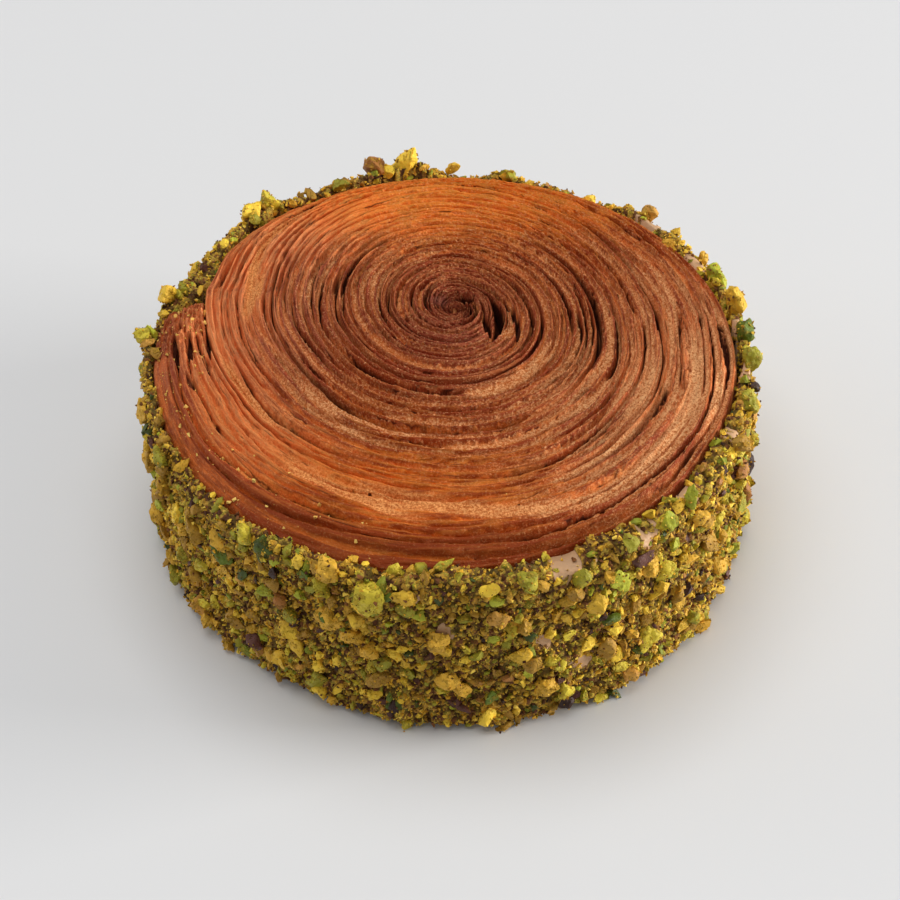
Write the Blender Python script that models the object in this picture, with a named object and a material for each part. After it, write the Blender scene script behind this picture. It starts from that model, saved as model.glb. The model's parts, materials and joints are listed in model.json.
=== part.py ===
"""Laminated spiral pastry roll, its side coated in glaze and chopped pistachio.

Metres, +Z up. The roll stands on its flat base, centred on the origin, with the
viewing side toward -Y. Two pieces: the baked coil, and the coat round its side.
"""
import math
from dataclasses import dataclass

import bmesh
import bpy
import numpy as np
from mathutils import Matrix, Vector

MM = 0.001

# ---- the baked coil ---------------------------------------------------------
COIL_HEIGHT = 36.0 * MM
COIL_RADIUS = 49.5 * MM            # baked in a 100 mm ring
SPIRAL_CENTRE = (1.5 * MM, 12.0 * MM)
STRIP_END = math.radians(172.0)    # compass direction of the strip's outer end
TURN_EDGES = (1.0, 0.92, 0.666, 0.435, 0.235, 0.10, 0.04, 0.0, 0.0)   # each turn's outer edge there
SWAY = ((0.0369, -0.1651), (-0.0309, -0.0719), (-0.0064, -0.003))  # uneven rolling, by harmonic
END_BULGE = 0.024                  # how far the loose end springs out
BULGE_SPAN = (0.004, 0.03, 0.10)   # shares of a turn where it starts, is full, and ends
END_TUCK = 0.018                   # share of a turn over which the loose end draws in
TURN_TUCK = 0.93                   # and where the first turn starts to tuck under it
TURNS = 5                          # the last one is meshed at every second column
ROWS = 8                           # rows across one turn: four ridges, four valleys
COLUMNS = 72
GROOVE_DEPTH = 2.2 * MM            # between one turn and the next
VALLEY_DEPTH = 1.3 * MM            # between layers in a turn
FULL_TURN = 0.14                   # turns narrower than this share are shallower
RIDGE_WANDER = 0.35 * MM
SHOULDER_DROP = 1.7 * MM
SHOULDER_FRONT = 1.1 * MM          # how much more the front of the rim is worn down
SHOULDER_START = 0.90              # share of the reach where the rim starts to round off
FRONT = math.radians(245.0)        # direction that the shoulder falls most
END_DROP = 3.2 * MM                # how far the loose end falls
END_FALL = 0.02                    # share of a turn over which it does
HEART_DROP = 1.6 * MM
FOOT_CHAMFER = 0.9 * MM

# ---- the pistachio coat -----------------------------------------------------
FIT_GAP = 0.3 * MM
COAT_RADIUS = 51.4 * MM
COAT_FOOT = 0.7 * MM
COAT_TOP = 34.4 * MM
COAT_WAVE = 0.55 * MM
COAT_SWELL = 2.3 * MM              # the coat is thickest at the front right
SWELL_TOWARD = 290.0
SWELL_SPREAD = 42.0
COAT_HOLLOW = 0.7 * MM             # and thinnest at the front left
HOLLOW_TOWARD = 230.0
HOLLOW_SPREAD = 20.0
BACK_RISE = 1.5 * MM               # it stands higher round the back
BACK_ARC = (25.0, 50.0, 140.0, 165.0)   # where that rise starts, is full, and ends
RAGGED = 0.35 * MM
COAT_LEVELS = tuple(z * MM for z in (1.6, 6.6, 11.8, 17.0, 22.2, 27.4, 31.6))
FOOT_TUCK = 0.9 * MM               # how far the coat draws in at its foot
TOP_TUCK = 0.8 * MM                # and at its top
TOP_CROWN = 0.3 * MM
TOP_DIP = 0.5 * MM                 # the coat's top falls this much toward the coil
NUT_SEED = 20
NUT_COUNT = 222
NUT_LARGE = 4.7 * MM
NUT_SMALL = 2.8 * MM
NUT_POINTS = 11
NUT_SPREAD = (0.98, 1.24)          # how far a corner is from the middle, in half sizes
NUT_STEPS = (0.5698402910, 0.7548776662)   # shares of a turn and of the height per spread piece
NUT_STRAY = 2.0                    # degrees that it may stray
NUT_FORM = ((0.62, 0.5, -90.0, 0.0), (0.95, 0.7, 90.0, 0.35))   # its width, thickness, lean, lift in mm
DEGREE = 0.9 * MM                  # length of one degree round the coat
NUT_ROOM = 0.62                    # spread pieces keep this share of a placed one's length away
NUT_SEAT = 0.3                     # share of its thickness that a piece's middle stands proud
NUT_CLEAR = 0.75 * MM              # from the coil's radius
END_CLEAR = 1.9 * MM               # the same beside the loose end, where the coil bulges
END_ARC = (160.0, 212.0)
NUT_LEVELS = (2.4 * MM, 35.0 * MM)
NUT_LOWEST = 0.25 * MM
SLIVER = 0.004 * MM


@dataclass(frozen=True)
class Split:
    """A place where two layers have parted: a deep gap along one valley."""
    turn: int
    row: int
    start: float      # fraction of a turn from the strip's end
    stop: float
    depth: float


SPLITS = (
    Split(4, 0, 0.395, 0.605, 7.5 * MM),
    Split(3, 4, 0.370, 0.505, 5.5 * MM),
    Split(4, 6, 0.570, 0.700, 2.6 * MM),
    Split(2, 0, 0.535, 0.600, 3.0 * MM),
    Split(1, 6, 0.020, 0.085, 2.6 * MM),
    Split(0, 4, 0.945, 0.995, 2.6 * MM),
    Split(1, 0, 0.012, 0.140, 2.0 * MM),
)


@dataclass(frozen=True)
class Nut:
    """One chopped piece: where it sits on the side and its size and lean."""
    direction: float  # compass degrees, 270 faces the viewer
    height: float
    length: float
    width: float
    thick: float
    lean: float       # degrees the long axis is turned from upright
    lift: float = 0.0


LARGE_NUTS = (
    Nut(255.2, 31.2 * MM, 8.2 * MM, 5.4 * MM, 3.2 * MM, 12, 0.5 * MM),
    Nut(234.9, 32.8 * MM, 5.6 * MM, 3.4 * MM, 2.6 * MM, 8),
    Nut(298.6, 29.3 * MM, 5.6 * MM, 3.4 * MM, 3.2 * MM, -10, 0.4 * MM),
    Nut(303.4, 31.6 * MM, 5.2 * MM, 4.2 * MM, 2.0 * MM, 60, 0.6 * MM),
    Nut(315.7, 35.6 * MM, 6.2 * MM, 1.9 * MM, 1.9 * MM, 4),
    Nut(224.0, 29.1 * MM, 6.0 * MM, 5.0 * MM, 3.4 * MM, 30),
    Nut(216.9, 26.8 * MM, 6.0 * MM, 4.6 * MM, 3.4 * MM, 5, 0.4 * MM),
    Nut(222.6, 24.6 * MM, 7.4 * MM, 3.2 * MM, 2.4 * MM, 82),
    Nut(236.3, 7.9 * MM, 5.8 * MM, 3.0 * MM, 2.6 * MM, 75),
    Nut(259.7, 5.6 * MM, 6.6 * MM, 3.0 * MM, 2.4 * MM, 70),
    Nut(305.4, 10.8 * MM, 6.2 * MM, 4.4 * MM, 2.8 * MM, 65),
    Nut(294.3, 25.4 * MM, 4.8 * MM, 4.0 * MM, 3.0 * MM, 20),
    Nut(307.2, 21.6 * MM, 4.8 * MM, 3.6 * MM, 3.0 * MM, 50),
    Nut(247.7, 22.9 * MM, 5.4 * MM, 4.4 * MM, 3.0 * MM, 35),
    Nut(282.0, 35.4 * MM, 4.6 * MM, 4.0 * MM, 3.6 * MM, 0),
    Nut(247.6, 34.3 * MM, 5.4 * MM, 4.2 * MM, 3.0 * MM, 15),
    Nut(300.4, 35.6 * MM, 3.8 * MM, 3.6 * MM, 3.2 * MM, 0),
    Nut(308.9, 35.6 * MM, 3.8 * MM, 3.0 * MM, 3.0 * MM, 0),
    Nut(3.5, 35.4 * MM, 7.4 * MM, 4.0 * MM, 3.4 * MM, -42, -1.0 * MM),
    Nut(11.5, 35.4 * MM, 5.8 * MM, 4.8 * MM, 4.0 * MM, 10, -1.2 * MM),
    Nut(21.0, 35.0 * MM, 5.2 * MM, 3.6 * MM, 3.6 * MM, 50, -1.4 * MM),
    Nut(356.5, 34.6 * MM, 5.4 * MM, 3.4 * MM, 3.0 * MM, -15, -0.6 * MM),
    Nut(344.0, 34.6 * MM, 5.0 * MM, 3.6 * MM, 3.0 * MM, 20, -0.4 * MM),
    Nut(97.5, 36.6 * MM, 8.4 * MM, 4.4 * MM, 3.6 * MM, -14, -0.5 * MM),
    Nut(103.4, 36.4 * MM, 4.8 * MM, 4.4 * MM, 3.8 * MM, 10, -0.5 * MM),
    Nut(127.0, 36.4 * MM, 6.0 * MM, 3.6 * MM, 3.4 * MM, 10, -0.5 * MM),
    Nut(131.2, 36.2 * MM, 4.8 * MM, 4.0 * MM, 3.4 * MM, -20, -0.4 * MM),
    Nut(160.3, 35.6 * MM, 5.4 * MM, 4.2 * MM, 3.6 * MM, 60, -1.2 * MM),
    Nut(172.0, 34.6 * MM, 5.0 * MM, 4.2 * MM, 3.4 * MM, 30),
    Nut(76.0, 33.6 * MM, 4.2 * MM, 3.4 * MM, 3.0 * MM, 20, -0.8 * MM),
)


def smooth(low, high, value):
    """Ease from 0 at low to 1 at high."""
    t = min(max((value - low) / (high - low), 0.0), 1.0)
    return t * t * (3.0 - 2.0 * t)


def outline_reach(direction):
    """Distance from the spiral's centre to the round outline, in one direction."""
    dx, dy = math.cos(direction), math.sin(direction)
    along = SPIRAL_CENTRE[0] * dx + SPIRAL_CENTRE[1] * dy
    clear = COIL_RADIUS ** 2 - SPIRAL_CENTRE[0] ** 2 - SPIRAL_CENTRE[1] ** 2
    return -along + math.sqrt(along * along + clear)


def sway(t):
    """Share by which a turn runs wide or tight of an even spiral."""
    angle = 2.0 * math.pi * t
    start = sum(c for c, _ in SWAY)
    return sum(c * math.cos((n + 1) * angle) + s * math.sin((n + 1) * angle)
               for n, (c, s) in enumerate(SWAY)) - start


def turn_edge(turn, t):
    """Outer edge of a turn, as a share of the distance to the outline."""
    if turn == 0:
        tuck = (1.0 - TURN_EDGES[1]) * (smooth(TURN_TUCK, 1.0, t) + 1.0 - smooth(0.0, END_TUCK, t))
        start, full, end = BULGE_SPAN
        return 1.0 - tuck + END_BULGE * smooth(start, full, t) * (1.0 - smooth(full, end, t))
    even = TURN_EDGES[turn] + (TURN_EDGES[turn + 1] - TURN_EDGES[turn]) * t
    return even * (1.0 + sway(t))


def wander(along, row):
    """Slow rise and fall of a layer along the rolled strip."""
    a = 2.0 * math.pi * along
    return (0.6 * math.sin(5.3 * a + 1.7 * row) + 0.4 * math.sin(9.1 * a + 2.9 * row)
            + 0.5 * math.sin(3.2 * a + 0.8 * row))


def coil_point(turn, row, t):
    """A vertex of the coil's top, row by row inward and round by t."""
    outer = turn_edge(turn, t)
    inner = turn_edge(turn + 1, t)
    share = outer + (inner - outer) * row / ROWS
    direction = STRIP_END + 2.0 * math.pi * t
    reach = share * outline_reach(direction)
    x = SPIRAL_CENTRE[0] + reach * math.cos(direction)
    y = SPIRAL_CENTRE[1] + reach * math.sin(direction)
    return x, y, coil_height(turn, row, t, share, direction)


def coil_height(turn, row, t, share, direction):
    """Height of the top: ridges, valleys, parted layers and the worn shoulder."""
    width = turn_edge(turn, t) - turn_edge(turn + 1, t)
    fullness = smooth(0.0, FULL_TURN, width)
    drop = 0.0
    if row == 0 and turn:
        drop = GROOVE_DEPTH * fullness
    elif row % 2 == 0:
        drop = VALLEY_DEPTH * fullness
    front = max(math.cos(direction - FRONT), 0.0) ** 0.7
    drop += (SHOULDER_DROP + SHOULDER_FRONT * front) * smooth(SHOULDER_START, 1.0, share) ** 2
    if turn == 0:
        drop += END_DROP * (1.0 - smooth(0.0, END_FALL, t))
    for split in SPLITS:
        if (turn, row) == (split.turn, split.row) and split.start <= t <= split.stop:
            along = (t - split.start) / (split.stop - split.start)
            drop += split.depth * math.sin(math.pi * along) ** 0.6
    return COIL_HEIGHT - drop + RIDGE_WANDER * wander(turn + t, row) * fullness


def build_coil():
    """The baked roll: one spiral sheet of ridges, walls and a flat base."""
    shell = bmesh.new()
    grid = {}

    def vertex(turn, row, column):
        """Shared vertex: the end of one turn is the start of the next."""
        while column >= COLUMNS:
            turn, column = turn + 1, column - COLUMNS
        turn, row = turn + row // ROWS, row % ROWS
        if column == 0 and turn == 0:
            turn, row = 1, 0
        if (turn, row, column) not in grid:
            grid[turn, row, column] = shell.verts.new(coil_point(turn, row, column / COLUMNS))
        return grid[turn, row, column]

    def face(corners):
        """A face from its corners, with repeats left out."""
        loop = [v for i, v in enumerate(corners) if v is not corners[i - 1]]
        if len(set(loop)) > 2:
            shell.faces.new(loop)

    for turn in range(TURNS):
        step = 2 if turn == TURNS - 1 else 1
        for row in range(ROWS):
            for column in range(0, COLUMNS, step):
                stride = 1 if row == 0 else step
                outer = [vertex(turn, row, c) for c in range(column, column + step + 1, stride)]
                face(outer + [vertex(turn, row + 1, column + step), vertex(turn, row + 1, column)])

    heart = shell.verts.new((*SPIRAL_CENTRE, COIL_HEIGHT - HEART_DROP))
    ring = [vertex(TURNS, 0, column) for column in range(2, COLUMNS, 2)]
    for before, after in zip(ring, ring[1:]):
        face([before, after, heart])
    face([ring[-1], vertex(TURNS, ROWS, 0), heart])
    face([vertex(TURNS, row, 0) for row in range(ROWS, -1, -1)] + [ring[0], heart])

    rim = [vertex(1, 0, 0)] + [vertex(0, 0, column) for column in range(1, COLUMNS)]
    foot = [shell.verts.new((v.co.x, v.co.y, FOOT_CHAMFER)) for v in rim]
    inset = 1.0 - FOOT_CHAMFER / COIL_RADIUS
    base = [shell.verts.new((v.co.x * inset, v.co.y * inset, 0.0)) for v in rim]
    for i in range(len(rim)):
        j = (i + 1) % len(rim)
        shell.faces.new([rim[i], foot[i], foot[j], rim[j]])
        shell.faces.new([foot[i], base[i], base[j], foot[j]])
    shell.faces.new(base[::-1])
    bmesh.ops.recalc_face_normals(shell, faces=shell.faces)
    outline = [v.co.xy.copy() for v in rim]
    bmesh.ops.triangulate(shell, faces=[f for f in shell.faces if len(f.verts) > 3],
                          quad_method="SHORT_EDGE", ngon_method="BEAUTY")
    return shell, outline


def offset_outline(outline, gap):
    """The outline moved outward by a gap, corner by corner."""
    moved = []
    for i, here in enumerate(outline):
        before, after = outline[i - 1], outline[(i + 1) % len(outline)]
        along = (after - before).normalized()
        moved.append(here + gap * Vector((along.y, -along.x)))
    return moved


def bump_toward(direction, toward, spread):
    """Share of a swell or hollow felt in a direction: 1 where it is centred, fading out."""
    away = (math.degrees(direction) - toward + 180.0) % 360.0 - 180.0
    return math.exp(-(away / spread) ** 2)


def coat_middle(direction):
    """Mean radius of the coat's outer face, thick at the front right, thin at the front left."""
    return (COAT_RADIUS + COAT_SWELL * bump_toward(direction, SWELL_TOWARD, SWELL_SPREAD)
            - COAT_HOLLOW * bump_toward(direction, HOLLOW_TOWARD, HOLLOW_SPREAD))


def coat_top(direction):
    """Height of the coat's top, which stands higher round the back."""
    bearing = math.degrees(direction) % 360.0
    return COAT_TOP + BACK_RISE * (smooth(BACK_ARC[0], BACK_ARC[1], bearing)
                                   - smooth(BACK_ARC[2], BACK_ARC[3], bearing))


def coat_radius(direction, height):
    """Uneven outer surface of the glaze and crumb under the larger nuts."""
    wave = (math.sin(7 * direction + 3 * height / (9 * MM)) * 0.5
            + math.sin(17 * direction - height / (4 * MM) + 1.0) * 0.3
            + math.sin(29 * direction + height / (3 * MM) + 2.0) * 0.2)
    return coat_middle(direction) + COAT_WAVE * wave


def build_coat_band(outline):
    """The band of glaze: inner face on the coil's side, rough outer face."""
    band = bmesh.new()
    inner = offset_outline(outline, FIT_GAP)
    rings = []
    for point in inner:
        direction = math.atan2(point.y, point.x)
        out = Vector((math.cos(direction), math.sin(direction)))
        ragged = (math.sin(11 * direction) + math.sin(23 * direction + 1.0)) * RAGGED
        top = coat_top(direction)
        ring = [(point, COAT_FOOT)]
        ring.append((out * (coat_radius(direction, 0.0) - FOOT_TUCK), COAT_FOOT))
        ring += [(out * coat_radius(direction, z), z) for z in COAT_LEVELS]
        ring.append((out * (coat_middle(direction) - TOP_TUCK), top + TOP_CROWN + ragged))
        ring.append((point, top - TOP_DIP + 0.5 * ragged))
        rings.append([band.verts.new((xy.x, xy.y, z)) for xy, z in ring])
    for i, ring in enumerate(rings):
        after = rings[(i + 1) % len(rings)]
        for k in range(len(ring)):
            n = (k + 1) % len(ring)
            band.faces.new([ring[k], after[k], after[n], ring[n]])
    bmesh.ops.recalc_face_normals(band, faces=band.faces)
    bmesh.ops.triangulate(band, faces=band.faces[:])
    return band


def scattered_nuts():
    """Chopped pieces spread evenly round the side, the largest first."""
    draw = np.random.default_rng(NUT_SEED)
    nuts = list(LARGE_NUTS)
    placed = 0
    step = 0
    while placed < NUT_COUNT:
        step += 1
        direction = (step * NUT_STEPS[0] * 360.0 + draw.uniform(-NUT_STRAY, NUT_STRAY)) % 360.0
        level = (step * NUT_STEPS[1]) % 1.0 * (NUT_LEVELS[1] - NUT_LEVELS[0]) + NUT_LEVELS[0]
        length = NUT_LARGE + (NUT_SMALL - NUT_LARGE) * placed / NUT_COUNT
        shape = draw.uniform(*NUT_FORM)
        near = any(abs((direction - n.direction + 180.0) % 360.0 - 180.0) * DEGREE < n.length * NUT_ROOM
                   and abs(level - n.height) < n.length * NUT_ROOM for n in LARGE_NUTS)
        if near:
            continue
        nuts.append(Nut(direction, level, length, length * shape[0], length * shape[1],
                        shape[2], shape[3] * MM))
        placed += 1
    return nuts


def nut_points(nut, draw):
    """Corners of one angular piece, part sunk in the glaze and clear of the coil."""
    direction = math.radians(nut.direction)
    spread = draw.normal(size=(NUT_POINTS, 3))
    spread /= np.linalg.norm(spread, axis=1)[:, None]
    half = (nut.width / 2, nut.thick / 2, nut.length / 2)
    local = spread * half * draw.uniform(*NUT_SPREAD, (NUT_POINTS, 1))
    turned = Matrix.Rotation(math.radians(nut.lean), 3, "Y")
    facing = Matrix.Rotation(direction + math.pi / 2, 3, "Z")
    seat = coat_middle(direction) + nut.lift + NUT_SEAT * nut.thick
    centre = Vector((seat * math.cos(direction), seat * math.sin(direction), nut.height))
    points = []
    for corner in local:
        p = centre + facing @ (turned @ Vector(corner))
        flat = p.xy
        least = COIL_RADIUS + (END_CLEAR if beside_end(p) else NUT_CLEAR)
        if flat.length < least:
            p.x, p.y = flat.normalized() * least
        p.z = max(p.z, NUT_LOWEST)
        points.append(p)
    return points


def beside_end(point):
    """Whether a point is beside the strip's loose end, where the coil bulges."""
    bearing = math.degrees(math.atan2(point.y, point.x)) % 360.0
    return END_ARC[0] < bearing < END_ARC[1]


def build_nut(nut, draw, name, material, collection):
    """One piece as a closed angular solid."""
    body = bmesh.new()
    for p in nut_points(nut, draw):
        body.verts.new(p)
    hull = bmesh.ops.convex_hull(body, input=body.verts[:])
    spare = {e for e in hull["geom_interior"] + hull["geom_unused"] if isinstance(e, bmesh.types.BMVert)}
    bmesh.ops.delete(body, geom=list(spare), context="VERTS")
    bmesh.ops.recalc_face_normals(body, faces=body.faces)
    return add_object(body, name, material, collection)


def add_object(body, name, material, collection):
    """Put a finished bmesh into the scene."""
    mesh = bpy.data.meshes.new(name)
    body.to_mesh(mesh)
    body.free()
    mesh.materials.append(material)
    obj = bpy.data.objects.new(name, mesh)
    collection.objects.link(obj)
    return obj


def food_material(name, colour, roughness):
    """A plain matt food surface."""
    material = bpy.data.materials.new(name)
    material.use_nodes = True
    shader = material.node_tree.nodes["Principled BSDF"]
    shader.inputs["Base Color"].default_value = (*colour, 1.0)
    shader.inputs["Roughness"].default_value = roughness
    return material


def fuse(target, collection):
    """Join every piece of a collection onto the target, then take the pieces away."""
    union = target.modifiers.new("nuts", "BOOLEAN")
    union.operation = "UNION"
    union.operand_type = "COLLECTION"
    union.collection = collection
    union.solver = "MANIFOLD"
    bpy.context.view_layer.update()
    graph = bpy.context.evaluated_depsgraph_get()
    joined = bpy.data.meshes.new_from_object(target.evaluated_get(graph))
    target.modifiers.clear()
    target.data = joined
    for piece in list(collection.objects):
        bpy.data.objects.remove(piece)
    bpy.data.collections.remove(collection)


def keep_whole(obj):
    """Weld slivers and keep only the one connected body, as triangles."""
    body = bmesh.new()
    body.from_mesh(obj.data)
    bmesh.ops.remove_doubles(body, verts=body.verts[:], dist=SLIVER)
    bmesh.ops.triangulate(body, faces=[f for f in body.faces if len(f.verts) > 3])
    bmesh.ops.triangulate(body, faces=[f for f in body.faces if len(f.verts) > 3])
    left = set(body.faces)
    bodies = []
    while left:
        stack = [left.pop()]
        found = list(stack)
        while stack:
            for edge in stack.pop().edges:
                for beside in edge.link_faces:
                    if beside in left:
                        left.discard(beside)
                        found.append(beside)
                        stack.append(beside)
        bodies.append(found)
    largest = max(bodies, key=len)
    scraps = [face for found in bodies if found is not largest for face in found]
    bmesh.ops.delete(body, geom=scraps, context="FACES")
    body.to_mesh(obj.data)
    body.free()


def main():
    """Build the roll."""
    for obj in list(bpy.data.objects):
        bpy.data.objects.remove(obj)
    roll = bpy.data.collections.new("new_york_roll")
    bpy.context.scene.collection.children.link(roll)
    pieces = bpy.data.collections.new("nut_pieces")
    bpy.context.scene.collection.children.link(pieces)

    crust = food_material("baked_crust", (0.33, 0.125, 0.045), 0.6)
    nutty = food_material("pistachio", (0.30, 0.27, 0.06), 0.7)

    shell, outline = build_coil()
    coil = add_object(shell, "pastry_coil", crust, roll)
    coat = add_object(build_coat_band(outline), "pistachio_coat", nutty, roll)
    draw = np.random.default_rng(NUT_SEED + 1)
    for number, nut in enumerate(scattered_nuts()):
        piece = build_nut(nut, draw, f"nut_{number:03d}", nutty, pieces)
        piece.hide_render = True
        piece.display_type = "WIRE"
    fuse(coat, pieces)
    keep_whole(coat)
    for obj in (coil, coat):
        obj.data.polygons.foreach_set("use_smooth", [True] * len(obj.data.polygons))
        obj.data.set_sharp_from_angle(angle=math.radians(38.0))


main()
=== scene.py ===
"""Looks of a laminated spiral pastry roll with a chopped pistachio coat.

The roll stands on the origin with its viewing side toward -Y. Lengths are metres.
The layered top follows the same rolled-strip rule as the CAD, and the relief of its
layers, the rough bed of the coat and everything strewn on it are Geometry Nodes.
"""
import json
import logging
import math
from dataclasses import dataclass, field
from enum import Enum
from typing import Callable, Sequence, Union

import bmesh
import bpy
import numpy as np
from mathutils import Matrix, Vector, noise
from mathutils.bvhtree import BVHTree

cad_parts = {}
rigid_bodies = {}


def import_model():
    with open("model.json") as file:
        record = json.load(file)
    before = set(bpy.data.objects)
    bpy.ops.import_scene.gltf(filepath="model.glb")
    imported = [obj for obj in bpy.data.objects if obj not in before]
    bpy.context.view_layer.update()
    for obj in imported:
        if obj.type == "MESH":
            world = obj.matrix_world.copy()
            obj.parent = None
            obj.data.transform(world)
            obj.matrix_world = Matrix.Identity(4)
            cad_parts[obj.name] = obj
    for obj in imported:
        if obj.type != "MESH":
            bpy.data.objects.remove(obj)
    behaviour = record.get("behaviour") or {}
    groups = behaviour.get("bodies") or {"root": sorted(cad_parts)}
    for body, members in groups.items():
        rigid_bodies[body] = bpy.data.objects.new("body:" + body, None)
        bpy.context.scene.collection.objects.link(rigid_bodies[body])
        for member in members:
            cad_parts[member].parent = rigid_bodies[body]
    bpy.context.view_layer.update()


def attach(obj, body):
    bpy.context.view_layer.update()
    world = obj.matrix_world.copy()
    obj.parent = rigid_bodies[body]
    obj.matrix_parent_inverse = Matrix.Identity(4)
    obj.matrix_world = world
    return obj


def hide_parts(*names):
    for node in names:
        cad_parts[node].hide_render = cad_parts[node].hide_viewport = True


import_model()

LOG = logging.getLogger("new_york_roll")
MM = 0.001
GRAIN = 2600.0  # waves in a metre of the finest grain, in every finish
SHARP_NUT, SHARP_CRUMB = math.radians(32.0), math.radians(38.0)  # least angles of a sharp edge
Array = np.ndarray
Colour = tuple[float, float, float]
Value = Union[float, int, bool, str, tuple, "Term", bpy.types.ID]
Maker = Callable[["Prototypes", np.random.Generator], bmesh.types.BMesh]


def ease(low: float, high: float, value: Array) -> Array:
    """Smooth step from 0 at low to 1 at high."""
    t = np.clip((np.asarray(value, dtype=float) - low) / (high - low), 0.0, 1.0)
    return t * t * (3.0 - 2.0 * t)


def turned(bearing: Array, origin: float) -> Array:
    """Degrees counterclockwise from one bearing to another, -180 to 180."""
    return (bearing - origin + 180.0) % 360.0 - 180.0


# ---- node trees written as sums ------------------------------------------------
class Term:
    """One output socket; arithmetic on it adds Math nodes to its tree."""

    def __init__(self, graph: "Graph", socket: bpy.types.NodeSocket) -> None:
        """Keep the tree and the socket."""
        self.graph = graph
        self.socket = socket

    def __add__(self, other: Value) -> "Term":
        """Sum."""
        return self.graph.math("ADD", self, other)

    def __sub__(self, other: Value) -> "Term":
        """Difference."""
        return self.graph.math("SUBTRACT", self, other)

    def __rsub__(self, other: Value) -> "Term":
        """Difference from a number."""
        return self.graph.math("SUBTRACT", other, self)

    def __mul__(self, other: Value) -> "Term":
        """Product."""
        return self.graph.math("MULTIPLY", self, other)

    def __truediv__(self, other: Value) -> "Term":
        """Quotient."""
        return self.graph.math("DIVIDE", self, other)

    def __rtruediv__(self, other: Value) -> "Term":
        """Quotient of a number by this."""
        return self.graph.math("DIVIDE", other, self)

    def __pow__(self, other: Value) -> "Term":
        """Power."""
        return self.graph.math("POWER", self, other)

    def __abs__(self) -> "Term":
        """Size without sign."""
        return self.graph.math("ABSOLUTE", self)

    __radd__ = __add__
    __rmul__ = __mul__


class Graph:
    """A node tree, with the few calls that every tree here is written in."""

    def __init__(self, tree: bpy.types.NodeTree) -> None:
        """Keep the tree."""
        self.tree = tree

    def node(self, kind: str, settings: dict | None = None,
             values: dict | None = None, out: Union[int, str] = 0) -> Term:
        """Add one node.

        Args:
            kind: Blender's name of the node type.
            settings: Properties, set before the sockets.
            values: Value or link of each socket, by name or place.
            out: Name or place of the output to hand back.

        Returns:
            The chosen output.
        """
        made = self.tree.nodes.new(kind)
        for name, setting in (settings or {}).items():
            setattr(made, name, setting)
        for name, value in (values or {}).items():
            self.feed(made.inputs[name], value)
        return Term(self, made.outputs[out])

    def feed(self, socket: bpy.types.NodeSocket, value: Value) -> None:
        """Link a term to a socket, or set its value.

        Args:
            socket: The input to fill.
            value: A term, a number, or a tuple for a colour or vector.
        """
        if isinstance(value, Term):
            self.tree.links.new(value.socket, socket)
        elif isinstance(value, tuple) and socket.type == "RGBA" and len(value) == 3:
            socket.default_value = (*value, 1.0)
        else:
            socket.default_value = value

    def math(self, operation: str, first: Value, second: Value = 0.0, clamp: bool = False) -> Term:
        """One Math node."""
        return self.node("ShaderNodeMath", {"operation": operation, "use_clamp": clamp},
                         {0: first, 1: second})

    def ease(self, value: Value, low: float, high: float) -> Term:
        """Smooth step of a value from 0 at low to 1 at high."""
        return self.node("ShaderNodeMapRange", {"interpolation_type": "SMOOTHSTEP"},
                         {"Value": value, "From Min": low, "From Max": high})

    def clip(self, value: Term) -> Term:
        """The value held between 0 and 1."""
        return self.math("ADD", value, 0.0, True)

    def bell(self, value: Term) -> Term:
        """1 at 0, falling off to both sides."""
        return self.math("EXPONENT", 0.0 - value ** 2.0)

    @staticmethod
    def centred(value: Term) -> Term:
        """Noise of 0 to 1 spread over -1 to 1."""
        return (value - 0.5) * 2.0

    def vector(self, x: Value, y: Value, z: Value = 0.0) -> Term:
        """A vector from three numbers."""
        return self.node("ShaderNodeCombineXYZ", None, {0: x, 1: y, 2: z})

    def scaled(self, vector: Term, by: Value) -> Term:
        """A vector times a number, or times another vector part by part."""
        if isinstance(by, tuple):
            return self.node("ShaderNodeVectorMath", {"operation": "MULTIPLY"}, {0: vector, 1: by})
        return self.node("ShaderNodeVectorMath", {"operation": "SCALE"}, {0: vector, "Scale": by})

    def noise(self, where: Term, scale: float = 1.0, detail: float = 2.0, rough: float = 0.5,
              flat: bool = False, out: str = "Fac") -> Term:
        """Cloudy noise at a place.

        Args:
            where: The vector it is read at.
            scale: Waves in one unit.
            detail: Octaves.
            rough: Share kept by each finer octave.
            flat: True to read x and y alone.
            out: Fac or Color.

        Returns:
            The noise, about a half on average.
        """
        return self.node("ShaderNodeTexNoise", {"noise_dimensions": "2D" if flat else "3D"},
                         {"Vector": where, "Scale": scale, "Detail": detail, "Roughness": rough}, out)

    def cells(self, where: Term, scale: float, out: str = "Distance") -> Term:
        """Voronoi cells: the distance to the nearest point, or its colour."""
        return self.node("ShaderNodeTexVoronoi", None, {"Vector": where, "Scale": scale}, out)

    def blend(self, share: Value, first: Value, second: Value) -> Term:
        """Mix of two colours: the first at 0, the second at 1."""
        return self.node("ShaderNodeMix", {"data_type": "RGBA"}, {0: share, 6: first, 7: second}, 2)


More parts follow.
